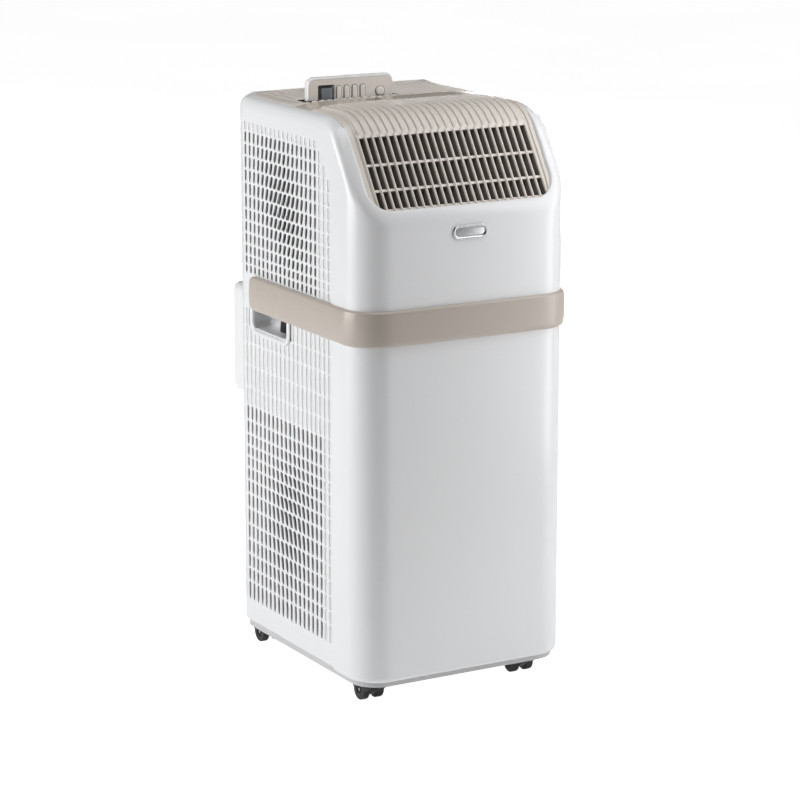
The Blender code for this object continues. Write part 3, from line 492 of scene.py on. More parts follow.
def side_panel(name, side):
    """The panel as cells between column and row lines, each plain or with a slot, inside and outside."""
    straight = rear_flat - seam
    length = straight + rear_radius * math.pi / 2 + 0.0007
    runs = [0.0, 0.0006, 0.003]
    runs += [first_column - seam + column_pitch * (k - 0.5) for k in range(23)]
    last = runs[-1]
    runs += [last + (length - last) * share for share in (0.35, 0.7, 1.0)]
    bm = bmesh.new()
    known = {}

    def vert(run, z, depth):
        key = (round(run, 6), round(z, 6), round(depth, 6))
        if key not in known:
            x, y = side_place(run, depth, side)
            known[key] = bm.verts.new((x, y, z))
        return known[key]

    def face(corners):
        corners = [c for i, c in enumerate(corners) if c is not corners[i - 1]]
        if len(set(corners)) < 3:
            return
        try:
            made_face = bm.faces.new(corners if side > 0 else corners[::-1])
            made_face.smooth = True
        except ValueError:
            pass

    def ring(outer, inner):
        count = len(outer)
        for i in range(count):
            j = (i + 1) % count
            face([vert(*outer[i]), vert(*outer[j]), vert(*inner[j]), vert(*inner[i])])

    def cell_edge(a, b, z0, z1, depth):
        edge = []
        corners = [(a, z0), (b, z0), (b, z1), (a, z1)]
        for (run, z), (next_run, next_z) in zip(corners, corners[1:] + corners[:1]):
            edge += [(run + (next_run - run) * i / 3, z + (next_z - z) * i / 3, depth) for i in range(3)]
        return edge

    def slot_edge(middle, z0, z1, width, lean, depth, grow):
        half, tall = width / 2 + grow, (z1 - z0) / 2 - 0.00115 + grow
        centre_z = (z0 + z1) / 2
        shape = [(-0.62, -1.0), (0.0, -1.0), (0.62, -1.0), (1.0, -0.72), (1.0, -0.24), (1.0, 0.24),
                 (1.0, 0.72), (0.62, 1.0), (0.0, 1.0), (-0.62, 1.0), (-1.0, 0.72), (-1.0, 0.0)]
        return [(middle + half * u - lean * v * 0.5, centre_z + tall * v, depth) for u, v in shape]

    grip_a, grip_b = grip_low.y + 0.0078 - seam, grip_high.y - 0.0078 - seam
    for i in range(len(runs) - 1):
        a, b = runs[i], runs[i + 1]
        column = i - 3 if 3 <= i < 25 else None
        for row in range(len(slot_rows) - 1):
            z1, z0 = slot_rows[row], slot_rows[row + 1]
            kind = slot_kind(column, row) if column is not None else None
            in_grip = b > grip_a - 0.004 and a < grip_b + 0.004 and row == 14
            in_grip = in_grip or (row == 13 and a > grip_a + 0.004 and b < grip_b - 0.008)
            if in_grip:
                continue
            outer, inner = cell_edge(a, b, z0, z1, 0.0), cell_edge(a, b, z0, z1, wall)
            if kind is None:
                face([vert(*p) for p in outer])
                face([vert(*p) for p in reversed(inner)])
                continue
            width, lean, depth = kind
            middle = (a + b) / 2
            mouth = slot_edge(middle, z0, z1, width, lean, 0.0, 0.0004)
            throat = slot_edge(middle, z0, z1, width, lean, 0.0004, 0.0)
            ring(outer, mouth)
            ring(mouth, throat)
            end = slot_edge(middle, z0, z1, width, lean, depth, 0.0)
            ring(throat, end)
            if depth < wall:
                face([vert(*p) for p in end])
                face([vert(*p) for p in reversed(inner)])
            else:
                ring(end, inner)
    # below the field, and over it up to the brow
    low_lines = [(foot, 0.0030), (foot + 0.0005, 0.0016), (foot + 0.0018, 0.0006), (foot + 0.0040, 0.0001),
                 (foot + 0.0065, 0.0), (slot_rows[-1], 0.0)]
    columns = []
    for i, run in enumerate(runs):
        parts = [run] if i == len(runs) - 1 else [run + (runs[i + 1] - run) * share for share in (0, 1 / 3, 2 / 3)]
        columns += parts
    for a, b in zip(columns, columns[1:]):
        for (z0, d0), (z1, d1) in zip(low_lines, low_lines[1:]):
            face([vert(a, z0, d0), vert(b, z0, d0), vert(b, z1, d1), vert(a, z1, d1)])
        face([vert(b, foot, wall + 0.0012), vert(a, foot, wall + 0.0012), vert(a, slot_rows[-1], wall),
              vert(b, slot_rows[-1], wall)][::-1])
        face([vert(a, foot, wall + 0.0012), vert(b, foot, wall + 0.0012), vert(b, foot, 0.0030),
              vert(a, foot, 0.0030)])
    caps = []
    for run in columns:
        x, y = side_place(run)
        if y < rear_flat + 1e-6 and abs(x) > half_width - 1e-6:
            section = brow((side * half_width, y), (side * edge_line(y), y), edge_drop)
        else:
            section = corner_brow(run, side)
        base = vert(run, slot_rows[0], 0.0)
        caps.append([base] + [bm.verts.new(p) for p in section])
    for one, two in zip(caps, caps[1:]):
        for j in range(len(one) - 1):
            face([one[j], two[j], two[j + 1], one[j + 1]])
    mesh = bpy.data.meshes.new(name)
    bm.normal_update()
    bm.to_mesh(mesh)
    bm.free()
    return mesh


def corner_brow(run, side):
    """Section over the rear corner, from the wall to the corner of the beige cover."""
    straight = rear_flat - seam
    angle = min(math.pi / 2, (run - straight) / rear_radius)
    inner_radius = 0.0095
    centre_x, centre_y = half_width - rear_radius, rear_flat
    x, y = side_place(run)
    past = max(0.0, run - straight - rear_radius * math.pi / 2)
    edge = (side * (centre_x + inner_radius * math.cos(angle) - past), centre_y + inner_radius * math.sin(angle))
    inner = Vector((edge[0], edge[1], top - 0.0044 * math.cos(angle) - 0.0006))
    drop = edge_drop + 0.002 * math.sin(angle)
    corner = Vector((x, y, inner.z))
    low = corner - Vector((0, 0, drop))
    section = []
    for i in range(9):
        t = i / 8
        section.append(low * (1 - t) ** 2 + corner * 2 * t * (1 - t) + inner * t ** 2)
    outward = Vector((corner.x - inner.x, corner.y - inner.y, 0.0)).normalized()
    lip = 0.0012
    for share in (0.0, 0.5, 1.0):
        turn = math.pi / 2 * share
        section.append(inner - outward * lip * 0.6 * math.sin(turn) - Vector((0, 0, lip * (1 - math.cos(turn)))))
    section.append(section[-1] - Vector((0, 0, 0.0035)))
    return section


for label, side in (("left", -1), ("right", 1)):
    new_piece("side_panel_" + label + "_skin", side_panel("side_panel_" + label + "_skin", side),
              white_gloss, stands_for=("side_panel_" + label,))

# ------------------------------------------------------------ belt band
# One beige moulding runs round the front and both sides at hip height. It is convex, with soft edges,
# and each end is rounded off behind the hand grip.

beige_gloss = moulding("beige_gloss", (0.50, 0.445, 0.395), (0.48, 0.425, 0.375), 0.30, bump=0.015, dust=0.06,
                       wear=0.08, coat=0.15)
band_low, band_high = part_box("belt_band")
band_proud = -half_width - band_low.x
band_end = band_high.y


def band_plan():
    """Plan points, outward normals and the way left to the nearer end, all round the band."""
    points = []
    start = front + front_radius
    side_run = band_end - start
    spots = [0.0, 0.0003, 0.001, 0.002, 0.0035, 0.0055, 0.008, 0.011, 0.015]
    spots += [0.015 + (side_run - 0.015) * i / 12 for i in range(1, 13)]
    for way in spots:
        points.append(((-half_width, band_end - way), (-1.0, 0.0), way))
    for i in range(1, 19):
        angle = math.pi / 2 * i / 18
        aim = (-math.cos(angle), -math.sin(angle))
        points.append(((-half_width + front_radius + front_radius * aim[0], start + front_radius * aim[1]), aim, 1.0))
    for i in range(1, 13):
        points.append((((-half_width + front_radius) * (1 - i / 12), front), (0.0, -1.0), 1.0))
    return points + [((-p[0], p[1]), (-n[0], n[1]), way) for p, n, way in reversed(points[:-1])]


band_lines = []
centre_z = (band_low.z + band_high.z) / 2
half_tall = (band_high.z - band_low.z) / 2
for (x, y), (nx, ny), way in band_plan():
    turn = 0.011
    tall = half_tall - turn + math.sqrt(max(0.0, turn ** 2 - max(0.0, turn - way) ** 2)) if way < turn else half_tall
    reach = 0.004
    proud = band_proud * (math.sqrt(max(0.0, 1 - max(0.0, 1 - way / reach) ** 2)) if way < reach else 1.0)
    line = []
    for share, out in [(-1.0, 0.02), (-1.0, 0.45), (-0.985, 0.62), (-0.93, 0.78), (-0.84, 0.87), (-0.6, 0.95),
                       (-0.3, 0.99), (0.0, 1.0), (0.3, 0.99), (0.6, 0.95), (0.84, 0.88), (0.90, 0.85),
                       (0.955, 0.76), (0.99, 0.60), (1.0, 0.42), (1.0, 0.02)]:
        depth = 0.0003 + (proud - 0.0003) * out
        line.append((x + nx * depth, y + ny * depth, centre_z + tall * share))
    band_lines.append(line)
band_mesh = grid_mesh("belt_band_skin", band_lines)
band_bm = bmesh.new()
band_bm.from_mesh(band_mesh)
bmesh.ops.holes_fill(band_bm, edges=[e for e in band_bm.edges if e.is_boundary], sides=200)
bmesh.ops.recalc_face_normals(band_bm, faces=band_bm.faces)
band_bm.to_mesh(band_mesh)
band_bm.free()
new_piece("belt_band_skin", band_mesh, beige_gloss, stands_for=("belt_band",))

# ------------------------------------------------------------ hand grips
# A white cup is let into each side under the end of the band, with a raised, rounded rim round its mouth.
# The hole under the band where the fingers go up is a black sheet: painted shade in the dark gap.

shadow_black = moulding("shadow_black", (0.012, 0.012, 0.013), (0.02, 0.02, 0.021), 0.6, drift=0.5, wear=0.0,
                        dust=0.0)


def round_rectangle(low, high, radius, count):
    """Points of a rectangle with round corners."""
    points = []
    spots = [(high[0] - radius, low[1] + radius, -90), (high[0] - radius, high[1] - radius, 0),
             (low[0] + radius, high[1] - radius, 90), (low[0] + radius, low[1] + radius, 180)]
    for a, b, start in spots:
        for i in range(count + 1):
            turn = math.radians(start + 90 * i / count)
            points.append((a + radius * math.cos(turn), b + radius * math.sin(turn)))
    return points


def nested_rings(name, rings, flip=False, cap_last=True):
    """A mesh through rings of points with equal counts, the last one closed by a face."""
    lines = [ring + ring[:1] for ring in rings]
    mesh = grid_mesh(name, lines)
    bm = bmesh.new()
    bm.from_mesh(mesh)
    bmesh.ops.remove_doubles(bm, verts=bm.verts, dist=1e-6)
    if cap_last:
        open_edges = [e for e in bm.edges if e.is_boundary]
        goal = Vector(rings[-1][0])
        for e in open_edges:
            if (e.verts[0].co - goal).length < 1e-5 or (e.verts[1].co - goal).length < 1e-5:
                bmesh.ops.edgenet_fill(bm, edges=[k for k in open_edges if any(
                    (k.verts[0].co - Vector(p)).length < 1e-5 for p in rings[-1])])
                break
    if flip:
        bmesh.ops.reverse_faces(bm, faces=bm.faces)
    for f in bm.faces:
        f.smooth = True
    bm.to_mesh(mesh)
    bm.free()
    return mesh


for label, side in (("left", -1), ("right", 1)):
    low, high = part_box("hand_grip_" + label)
    y0, y1 = low.y + 0.0080, high.y - 0.0080
    z0, z1 = low.z + 0.0060, 0.4380
    surface = side * half_width
    proud = 0.0022 * side
    rings = []
    for grow, out, radius in [(0.0092, 0.0, 0.0150), (0.0089, 0.0012, 0.0148), (0.0078, 0.0020, 0.0140),
                              (0.0055, 0.0022, 0.0125), (0.0028, 0.0021, 0.0105), (0.0012, 0.0014, 0.0095),
                              (0.0004, 0.0002, 0.0090), (0.0, -0.0015, 0.0088), (-0.0003, -0.014, 0.0086),
                              (-0.0012, -0.019, 0.0080), (-0.0035, -0.0222, 0.0070), (-0.0080, -0.0240, 0.0050)]:
        outline = round_rectangle((y0 - grow, z0 - min(grow, 0.0062)), (y1 + grow, 0.4700), radius, 6)
        rings.append([(surface + side * out, y, z) for y, z in outline])
    new_piece("hand_grip_" + label + "_cup", nested_rings("hand_grip_cup", rings, flip=side > 0),
              white_gloss, stands_for=("hand_grip_" + label,))
    # A black sheet deep in the cup: painted shade where the gap under the band goes dark
    hole = round_rectangle((y0 + 0.0015, z0 + 0.0010), (y0 + 0.050, 0.4560), 0.002, 2)
    hole_rings = [[(surface - side * (depth + 0.1 * (z - z0)), y, z) for y, z in hole] for depth in (0.0175, 0.0165)]
    mouth = new_piece("hand_grip_" + label + "_hole", nested_rings("hand_grip_hole", hole_rings, flip=side > 0),
                      shadow_black)

# ------------------------------------------------------------ ribbed outlet
# The beige outlet lies over the slope and the roll of the top. Raised strips run front to back with narrow
# grooves between them; on the slope they end in three rows of deep slots between thin louvre bars.

pitch = 0.00986
slot_count = 23
beige_satin = moulding("beige_satin", (0.74, 0.685, 0.63), (0.71, 0.655, 0.60), 0.32, bump=0.02, dust=0.08,
                       wear=0.12, coat=0.05)


def crest_path(start, end, step):
    """Depths and heights along the crest from one depth to another, a step apart along the surface."""
    points = [(start, crest(start))]
    y = start
    while y < end:
        rise = (crest(y + 1e-4) - crest(y)) / 1e-4
        y = min(end, y + step / math.sqrt(1 + rise * rise))
        points.append((y, crest(y)))
    return points


def crest_normal(y):
    rise = (crest(y + 1e-4) - crest(y - 1e-4)) / 2e-4
    return Vector((0.0, -rise, 1.0)).normalized()


def on_top(x, y, height):
    """A point on the outer surface, raised along its normal."""
    base = Vector((x, y, top_surface(x, y)))
    return base + crest_normal(y) * height


strip_front, strip_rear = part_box("control_strip")[0].y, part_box("control_strip")[1].y
slot_spans = [(0.5975, 0.6158), (0.6184, 0.6428), (0.6454, 0.6735)]


def depth_at(z):
    """Depth at which the slope reaches a height."""
    return front + (z - slope_start) / math.tan(slope_angle)


def outlet_mesh():
    """Rib field as a height map over column lines and row lines, with slots cut through, inside a border."""
    bm = bmesh.new()
    x_lines = []
    half_field = pitch * slot_count / 2
    for k in range(slot_count):
        centre = pitch * (k - (slot_count - 1) / 2)
        for u in (-0.5, -0.45, -0.40, -0.35, 0.35, 0.40, 0.45):
            x_lines.append((centre + pitch * u, u))
    x_lines.append((half_field, -0.5))
    y_lines = [(outlet_foot + 0.0022, "solid")]
    for number, (low, high) in enumerate(slot_spans):
        a, b = depth_at(low), depth_at(high)
        bend = 0.0012
        y_lines += [(a - bend, "rim"), (a, "slot")]
        y_lines += [(a + (b - a) * share, "slot") for share in (0.06, 0.5, 0.94)]
        y_lines += [(b, "slot"), (b + (bend if number == 2 else 0.0001), "rim")]
    field_end = y_lines[-1][0]
    # the ribs carry on over the roll and the flat top
    for y, _ in crest_path(field_end + 0.0012, strip_front - 0.0006, 0.0035):
        y_lines.append((y, "rib"))
    slot_top = depth_at(slot_spans[-1][1])
    rows = []
    for y, zone in y_lines:
        row = []
        for x, u in x_lines:
            side_gap = half_field - abs(x)
            if zone == "rib":
                ease = smooth_step(y, slot_top, slot_top + 0.004)
                inside = abs(u) <= 0.36
                lift = 0.0010 if inside else (0.0005 if abs(u) < 0.42 else -0.0009)
                lift *= ease if side_gap > 0.0001 else 0.3
            else:
                lift = 0.0006 if abs(u) > 0.44 else 0.0003 if abs(u) > 0.37 else -0.0002
            row.append(bm.verts.new(on_top(x, y, lift)))
        rows.append(row)
    deep = 0.018
    cells_open = set()
    for r in range(len(rows) - 1):
        for c in range(len(x_lines) - 1):
            in_slot = y_lines[r][1] == "slot" and y_lines[r + 1][1] == "slot"
            across = abs(x_lines[c][1] + 0.35) < 0.01
            if in_slot and across:
                cells_open.add((r, c))
    lower = {}

    def sunk(r, c, depth):
        key = (r, c, depth)
        if key not in lower:
            x, y = x_lines[c][0], y_lines[r][0]
            inward = 0.0003 if depth < 0.003 else 0.0009
            u = x_lines[c][1]
            push = -inward if u > 0 else inward
            lower[key] = bm.verts.new(on_top(x, y, 0.0) - crest_normal(y) * depth + Vector((push, 0, 0)))
        return lower[key]

    for r in range(len(rows) - 1):
        for c in range(len(x_lines) - 1):
            if (r, c) not in cells_open:
                bm.faces.new((rows[r][c], rows[r][c + 1], rows[r + 1][c + 1], rows[r + 1][c]))
                continue
            slot_sides = [((r, c), (r, c + 1), (r - 1, c)), ((r, c + 1), (r + 1, c + 1), (r, c + 1)),
                          ((r + 1, c + 1), (r + 1, c), (r + 1, c)), ((r + 1, c), (r, c), (r, c - 1))]
            for (ra, ca), (rb, cb), beyond in slot_sides:
                if beyond in cells_open:
                    continue
                a, b = rows[ra][ca], rows[rb][cb]
                for depth in (0.0007, 0.008, deep):
                    a2, b2 = sunk(ra, ca, depth), sunk(rb, cb, depth)
                    side_face = bm.faces.new((a2, b2, b, a))
                    # walls deeper than 1 mm take the second material, a darker beige that is painted shade inside the
                    # slots
                    side_face.material_index = 1 if depth > 0.001 else 0
                    a, b = a2, b2
    # border from the rib field out to the outline
    trail = [rows[r][0] for r in range(len(rows) - 1, 0, -1)] + rows[0] + [rows[r][-1] for r in range(1, len(rows))]
    inner = [(v.co.x, v.co.y) for v in trail]
    outer = []
    across_r, deep_r = outlet_corner
    gap = 0.0004
    count_side = len(rows) - 1
    corner_y = outlet_foot + deep_r
    for i, (x, y) in enumerate(inner):
        if i < count_side or i >= len(inner) - count_side:
            side = -1 if i < count_side else 1
            if y >= corner_y:
                outer.append((side * (edge_line(y) - gap), y))
            else:
                turn = (corner_y - y) / (corner_y - inner[count_side][1])
                angle = math.pi / 4 * turn
                outer.append((side * (outlet_half - gap - across_r * (1 - math.cos(angle))),
                              corner_y - deep_r * math.sin(angle)))
        else:
            part = abs(x)
            flat = outlet_half - across_r
            if part <= flat * 0.97:
                outer.append((x, outlet_foot + gap))
            else:
                turn = (half_field - part) / (half_field - flat * 0.97)
                angle = math.pi / 4 + math.pi / 4 * turn
                side = -1 if x < 0 else 1
                outer.append((side * (outlet_half - gap - across_r * (1 - math.cos(angle))),
                              outlet_foot + deep_r - (deep_r - gap) * math.sin(angle)))
    groove = [(0.0, None), (0.16, -0.0002), (0.24, -0.0014), (0.34, -0.0014), (0.42, 0.0001), (0.70, 0.0002),
              (0.90, 0.0), (0.97, -0.0005), (1.0, -0.0014), (1.0, -0.0045)]
    previous = trail
    for share, lift in groove[1:]:
        ring = []
        for (xi, yi), (xo, yo) in zip(inner, outer):
            x, y = xi + (xo - xi) * share, yi + (yo - yi) * share
            depth = lift
            if lift < -0.001 and share < 0.5:
                depth = lift * smooth_step(abs(x), outlet_half - 0.020, outlet_half - 0.012)
            ring.append(bm.verts.new(on_top(x, y, depth)))
        for i in range(len(ring) - 1):
            bm.faces.new((previous[i], ring[i], ring[i + 1], previous[i + 1]))
        previous = ring
    bmesh.ops.recalc_face_normals(bm, faces=bm.faces)
    probe = max(bm.faces, key=lambda f: f.calc_center_median().z)
    if probe.normal.z < 0:
        bmesh.ops.reverse_faces(bm, faces=bm.faces)
    mesh = bpy.data.meshes.new("top_grille_skin")
    bm.to_mesh(mesh)
    bm.free()
    mesh.shade_smooth()
    mesh.set_sharp_from_angle(angle=math.radians(50))
    return mesh


outlet = new_piece("top_grille_skin", outlet_mesh(), beige_satin, stands_for=("top_grille",))
# The outlet's beige made darker: painted shade on the deep walls of the slots
painted_shade_beige = moulding("painted_shade_beige", (0.24, 0.215, 0.19), (0.19, 0.17, 0.15), 0.45, wear=0.0, dust=0.1)
outlet.data.materials.append(painted_shade_beige)

# A black sheet under the slots: painted shade standing for the dark duct behind them
duct_shade_lines = []
for x in (-0.119, 0.119):
    duct_shade_lines.append([Vector((x, y, crest(y))) - crest_normal(y) * 0.021
                         for y in [depth_at(0.597) + 0.004 * i for i in range(14)]])
duct_shade_sheet = new_piece("outlet_painted_shade", grid_mesh("outlet_painted_shade", duct_shade_lines), shadow_black)
thickened(duct_shade_sheet, 0.001)

# ------------------------------------------------------------ control strip
# A smoked gloss strip crosses the top behind the ribs, with a small dark display window let into it.

smoked = moulding("smoked_gloss", (0.54, 0.475, 0.415), (0.51, 0.445, 0.385), 0.16, spread=0.02, bump=0.004,
                  drift=0.3, wear=0.0, dust=0.05, ior=1.25)


def slab(name, x_span, y_span, edge, lift, parts=(24, 8)):
    """A thin crowned plate lying on the top surface, with rounded edges and a short skirt."""
    lines = []
    offsets = [(0.0, -0.004), (0.0, -edge), (edge * 0.3, -edge * 0.3), (edge, 0.0)]
    x0, x1 = x_span
    y0, y1 = y_span
    xs = [(x0 + d, h) for d, h in offsets]
    xs += [(x0 + edge + (x1 - x0 - 2 * edge) * i / parts[0], 0.0) for i in range(1, parts[0])]
    xs += [(x1 - d, h) for d, h in reversed(offsets)]
    ys = [(y0 + d, h) for d, h in offsets]
    ys += [(y0 + edge + (y1 - y0 - 2 * edge) * i / parts[1], 0.0) for i in range(1, parts[1])]
    ys += [(y1 - d, h) for d, h in reversed(offsets)]
    for x, drop_x in xs:
        lines.append([on_top(x, y, lift + min(drop_x, drop_y)) for y, drop_y in ys])
    mesh = grid_mesh(name, lines)
    mesh.flip_normals() if mesh.polygons[len(mesh.polygons) // 2].normal.z < 0 else None
    return mesh


new_piece("control_strip_skin",
          slab("control_strip_skin", (-0.1272, 0.1272), (strip_front + 0.0002, strip_rear), 0.0008, 0.0),
          smoked, stands_for=("control_strip",))
display_black = moulding("display_black", (0.03, 0.028, 0.028), (0.045, 0.04, 0.04), 0.12, wear=0.0, dust=0.05,
                         coat=0.5)
window_low, window_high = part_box("display_window")
new_piece("display_window_skin",
          slab("display_window_skin", (window_low.x, window_high.x), (window_low.y, window_high.y), 0.0006,
               0.0002, (4, 4)), display_black, stands_for=("display_window",))

# ------------------------------------------------------------ rear cover
# The beige rear part of the top carries the ribs on at the same pitch, with a row of short slots near its
# rear edge and an opening for the remote control's pocket.

cover_rear = rear - 0.0125
slot_y = (front + 0.262, front + 0.280)
pocket_low, pocket_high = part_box("remote_pocket")


def cover_mesh():
    bm = bmesh.new()
    xs = []
    for k in range(25):
        centre = pitch * (k - 12)
        xs += [(centre + pitch * u, u) for u in (-0.5, -0.42, -0.33, -0.22, 0.0, 0.22, 0.33, 0.42)]
    xs = [(x, u) for x, u in xs if abs(x) < 0.1215]
    xs = [(-0.1276, 9), (-0.1240, 9)] + xs + [(0.1240, 9), (0.1276, 9)]
    for edge in (pocket_low.x, pocket_high.x):
        near = min(range(len(xs)), key=lambda i: abs(xs[i][0] - edge))
        xs[near] = (edge, xs[near][1])
    y0 = strip_rear + 0.0004
    ys = [y0, pocket_low.y, (pocket_low.y + pocket_high.y) / 2, pocket_high.y, front + 0.235, front + 0.256,
          slot_y[0] - 0.0012, slot_y[0], slot_y[0] + 0.0012, (slot_y[0] + slot_y[1]) / 2, slot_y[1] - 0.0012,
          slot_y[1], slot_y[1] + 0.0012, front + 0.290, rear_flat, rear_flat + 0.003, rear_flat + 0.006,
          cover_rear - 0.0012, cover_rear]
    grid = []
    for y in ys:
        row = []
        limit = 0.1276
        if y > rear_flat:
            reach = 0.0091
            corner = half_width - rear_radius + math.sqrt(max(0.0, reach ** 2 - (y - rear_flat) ** 2))
            limit = min(limit, corner)
        for x, u in xs:
            px = max(-limit, min(limit, x))
            fade = smooth_step(cover_rear - y, 0.002, 0.006)
            lift = 0.0
            if u != 9 and abs(x) < 0.121:
                lift = (0.0004 if abs(u) < 0.25 else -0.0002 if abs(u) < 0.35 else -0.0009) * fade
            row.append(bm.verts.new(on_top(px, y, lift)))
        grid.append(row)
    made_faces = {}
    for r in range(len(ys) - 1):
        for c in range(len(xs) - 1):
            middle_x, middle_y = (xs[c][0] + xs[c + 1][0]) / 2, (ys[r] + ys[r + 1]) / 2
            if pocket_low.x < middle_x < pocket_high.x and pocket_low.y < middle_y < pocket_high.y:
                continue
            u = xs[c][1]
            slotted = slot_y[0] < middle_y < slot_y[1] and u in (-0.22, 0.0) and abs(middle_x) < pitch * 11.5
            corners = (grid[r][c], grid[r][c + 1], grid[r + 1][c + 1], grid[r + 1][c])
            if slotted or len({tuple(round(v, 7) for v in corner.co) for corner in corners}) < 3:
                continue
            made_faces[(r, c)] = bm.faces.new(corners)
    bmesh.ops.remove_doubles(bm, verts=bm.verts, dist=1e-6)
    mesh = bpy.data.meshes.new("top_rear_cover_skin")
    bm.to_mesh(mesh)
    bm.free()
    mesh.shade_smooth()
    mesh.set_sharp_from_angle(angle=math.radians(50))
    return mesh


cover = new_piece("top_rear_cover_skin", cover_mesh(), beige_satin,
                  stands_for=("top_rear_cover",))
solid = cover.modifiers.new("wall", "SOLIDIFY")
solid.thickness = 0.002
solid.offset = -1.0
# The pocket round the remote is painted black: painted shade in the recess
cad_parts["remote_pocket"].data.materials.clear()
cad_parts["remote_pocket"].data.materials.append(shadow_black)
softened(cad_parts["remote_pocket"], 0.0005)

# The rear lip of the top, one white roll between the two corners, belongs to the rear panel
lip_lines = []
half_lip = half_width - rear_radius - 0.0012
for i in range(9):
    x = -half_lip + 2 * half_lip * i / 8
    line = [(x, rear + 0.0001, top - 0.0215), (x, rear + 0.0004, top - 0.0195)]
    for step in range(0, 13):
        angle = math.pi / 2 * step / 12
        line.append((x, rear - 0.018 + 0.0184 * math.cos(angle), top - 0.018 + 0.0184 * math.sin(angle)))
    line = line[:2] + [p for p in line[2:] if p[1] > cover_rear + 0.0002]
    last = line[-1]
    line += [(x, cover_rear + 0.0004, last[2] + 0.0002), (x, cover_rear + 0.0003, last[2] - 0.003)]
    lip_lines.append(line)
lip = new_piece("rear_top_lip", grid_mesh("rear_top_lip", lip_lines), white_gloss)
thickened(lip, 0.0010, 0.0002)

# ------------------------------------------------------------ remote control
# A slim hand control stands in the pocket: white back shell, beige face, grey display lens, four tall keys
# and a round-ended power key, each in a dark seam. It lifts out, and every key presses on its own.


def cushion(name, outline, y_face, y_back, edge, dome=0.0):
    """A flat moulding standing upright: an outline (x, z), rounded at the front edge, slightly domed."""
    centre_x = sum(p[0] for p in outline) / len(outline)
    centre_z = sum(p[1] for p in outline) / len(outline)
    rings = []
    for inset, depth in [(0.0, y_back), (0.0, y_face + edge), (edge * 0.13, y_face + edge * 0.5),
                         (edge * 0.5, y_face + edge * 0.13), (edge, y_face)]:
        ring = []
        for x, z in outline:
            away = Vector((x - centre_x, z - centre_z))
            away = away * (1 - inset / max(away.length, 1e-6))
            ring.append((centre_x + away.x, depth, centre_z + away.y))
        rings.append(ring)
    last = rings[-1]
    for share in (0.7, 0.35):
        rings.append([(centre_x + (x - centre_x) * share, y_face - dome * (1 - share ** 2),
                       centre_z + (z - centre_z) * share) for x, _, z in last])
    return nested_rings(name, rings, flip=False)


remote_low, remote_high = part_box("remote_back")
face_y = remote_low.y
back_rings = []
for inset, y in [(0.0040, face_y + 0.0030), (0.0034, face_y + 0.0002), (0.0028, face_y - 0.0002), (0.0018, face_y),
                 (0.0008, face_y + 0.0006), (0.0002, face_y + 0.0016), (0.0, face_y + 0.0030),
                 (0.0, remote_high.y - 0.0045), (0.0006, remote_high.y - 0.0022), (0.0022, remote_high.y - 0.0006),
                 (0.0045, remote_high.y), (0.02, remote_high.y + 0.0)]:
    outline = round_rectangle((remote_low.x + inset, remote_low.z + inset),
                              (remote_high.x - inset, remote_high.z - inset), max(0.002, 0.0095 - inset), 8)
    back_rings.append([(x, y, z) for x, z in outline])
remote_white = moulding("remote_white", (0.86, 0.85, 0.83), (0.83, 0.82, 0.80), 0.28, dust=0.04, coat=0.2)
remote_back = new_piece("remote_back_skin", nested_rings("remote_back_skin", back_rings), remote_white,
                        body="remote", stands_for=("remote_back",))
bm = bmesh.new()
bm.from_mesh(remote_back.data)
bmesh.ops.recalc_face_normals(bm, faces=bm.faces)
bm.to_mesh(remote_back.data)
bm.free()

remote_beige = moulding("remote_beige", (0.89, 0.83, 0.77), (0.86, 0.80, 0.74), 0.36, bump=0.03, dust=0.04)
face_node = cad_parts["remote_face"]
face_node.data.materials.clear()
face_node.data.materials.append(remote_beige)
softened(face_node, 0.0003)

lens_low, lens_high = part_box("remote_lens")
lens_grey = moulding("lens_grey", (0.035, 0.04, 0.045), (0.05, 0.055, 0.06), 0.14, wear=0.0, dust=0.02, coat=0.5)
new_piece("remote_lens_skin",
          cushion("remote_lens_skin", round_rectangle((lens_low.x, lens_low.z), (lens_high.x, lens_high.z),
                                                      0.0014, 3), lens_low.y, lens_high.y, 0.0003),
          lens_grey, body="remote", stands_for=("remote_lens",))
screen_grey = moulding("screen_grey", (0.22, 0.25, 0.27), (0.19, 0.22, 0.24), 0.2, wear=0.0, dust=0.0)
pane = round_rectangle((lens_low.x + 0.0045, lens_low.z + 0.0055), (lens_high.x - 0.0030, lens_high.z - 0.0035),
                       0.0006, 2)
new_piece("remote_screen", cushion("remote_screen", pane, lens_low.y - 0.0001, lens_low.y + 0.0002, 0.0001),
          screen_grey, body="remote")

key_white = moulding("key_white", (0.92, 0.88, 0.83), (0.90, 0.86, 0.81), 0.4, bump=0.03, dust=0.02)
key_seam = moulding("key_seam", (0.20, 0.18, 0.165), (0.17, 0.15, 0.14), 0.5, wear=0.0, dust=0.0)
for key in ("mode", "speed", "up", "down", "power"):
    low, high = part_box("key_" + key)
    radius = min(high.x - low.x, high.z - low.z) * 0.46
    shape = round_rectangle((low.x, low.z), (high.x, high.z), radius, 6)
    new_piece("key_" + key + "_cap", cushion("key_cap", shape, low.y - 0.0004, high.y, 0.0009, 0.0002), key_white,
              body="key_" + key, stands_for=("key_" + key,))
    seam_rings = []
    for grow, y in [(0.0002, face_y - 0.0001), (0.0002, face_y - 0.0004), (0.0008, face_y - 0.0004),
                    (0.0008, face_y - 0.0001)]:
        outline = round_rectangle((low.x - grow, low.z - grow), (high.x + grow, high.z + grow), radius + grow, 6)
        seam_rings.append([(x, y, z) for x, z in outline])
    new_piece("key_" + key + "_seam", nested_rings("key_seam", seam_rings, cap_last=False), key_seam,
              body="remote")

# ------------------------------------------------------------ badge
# A plain silvered plaque with a raised rim, glued to the front below the outlet. It carries no lettering.

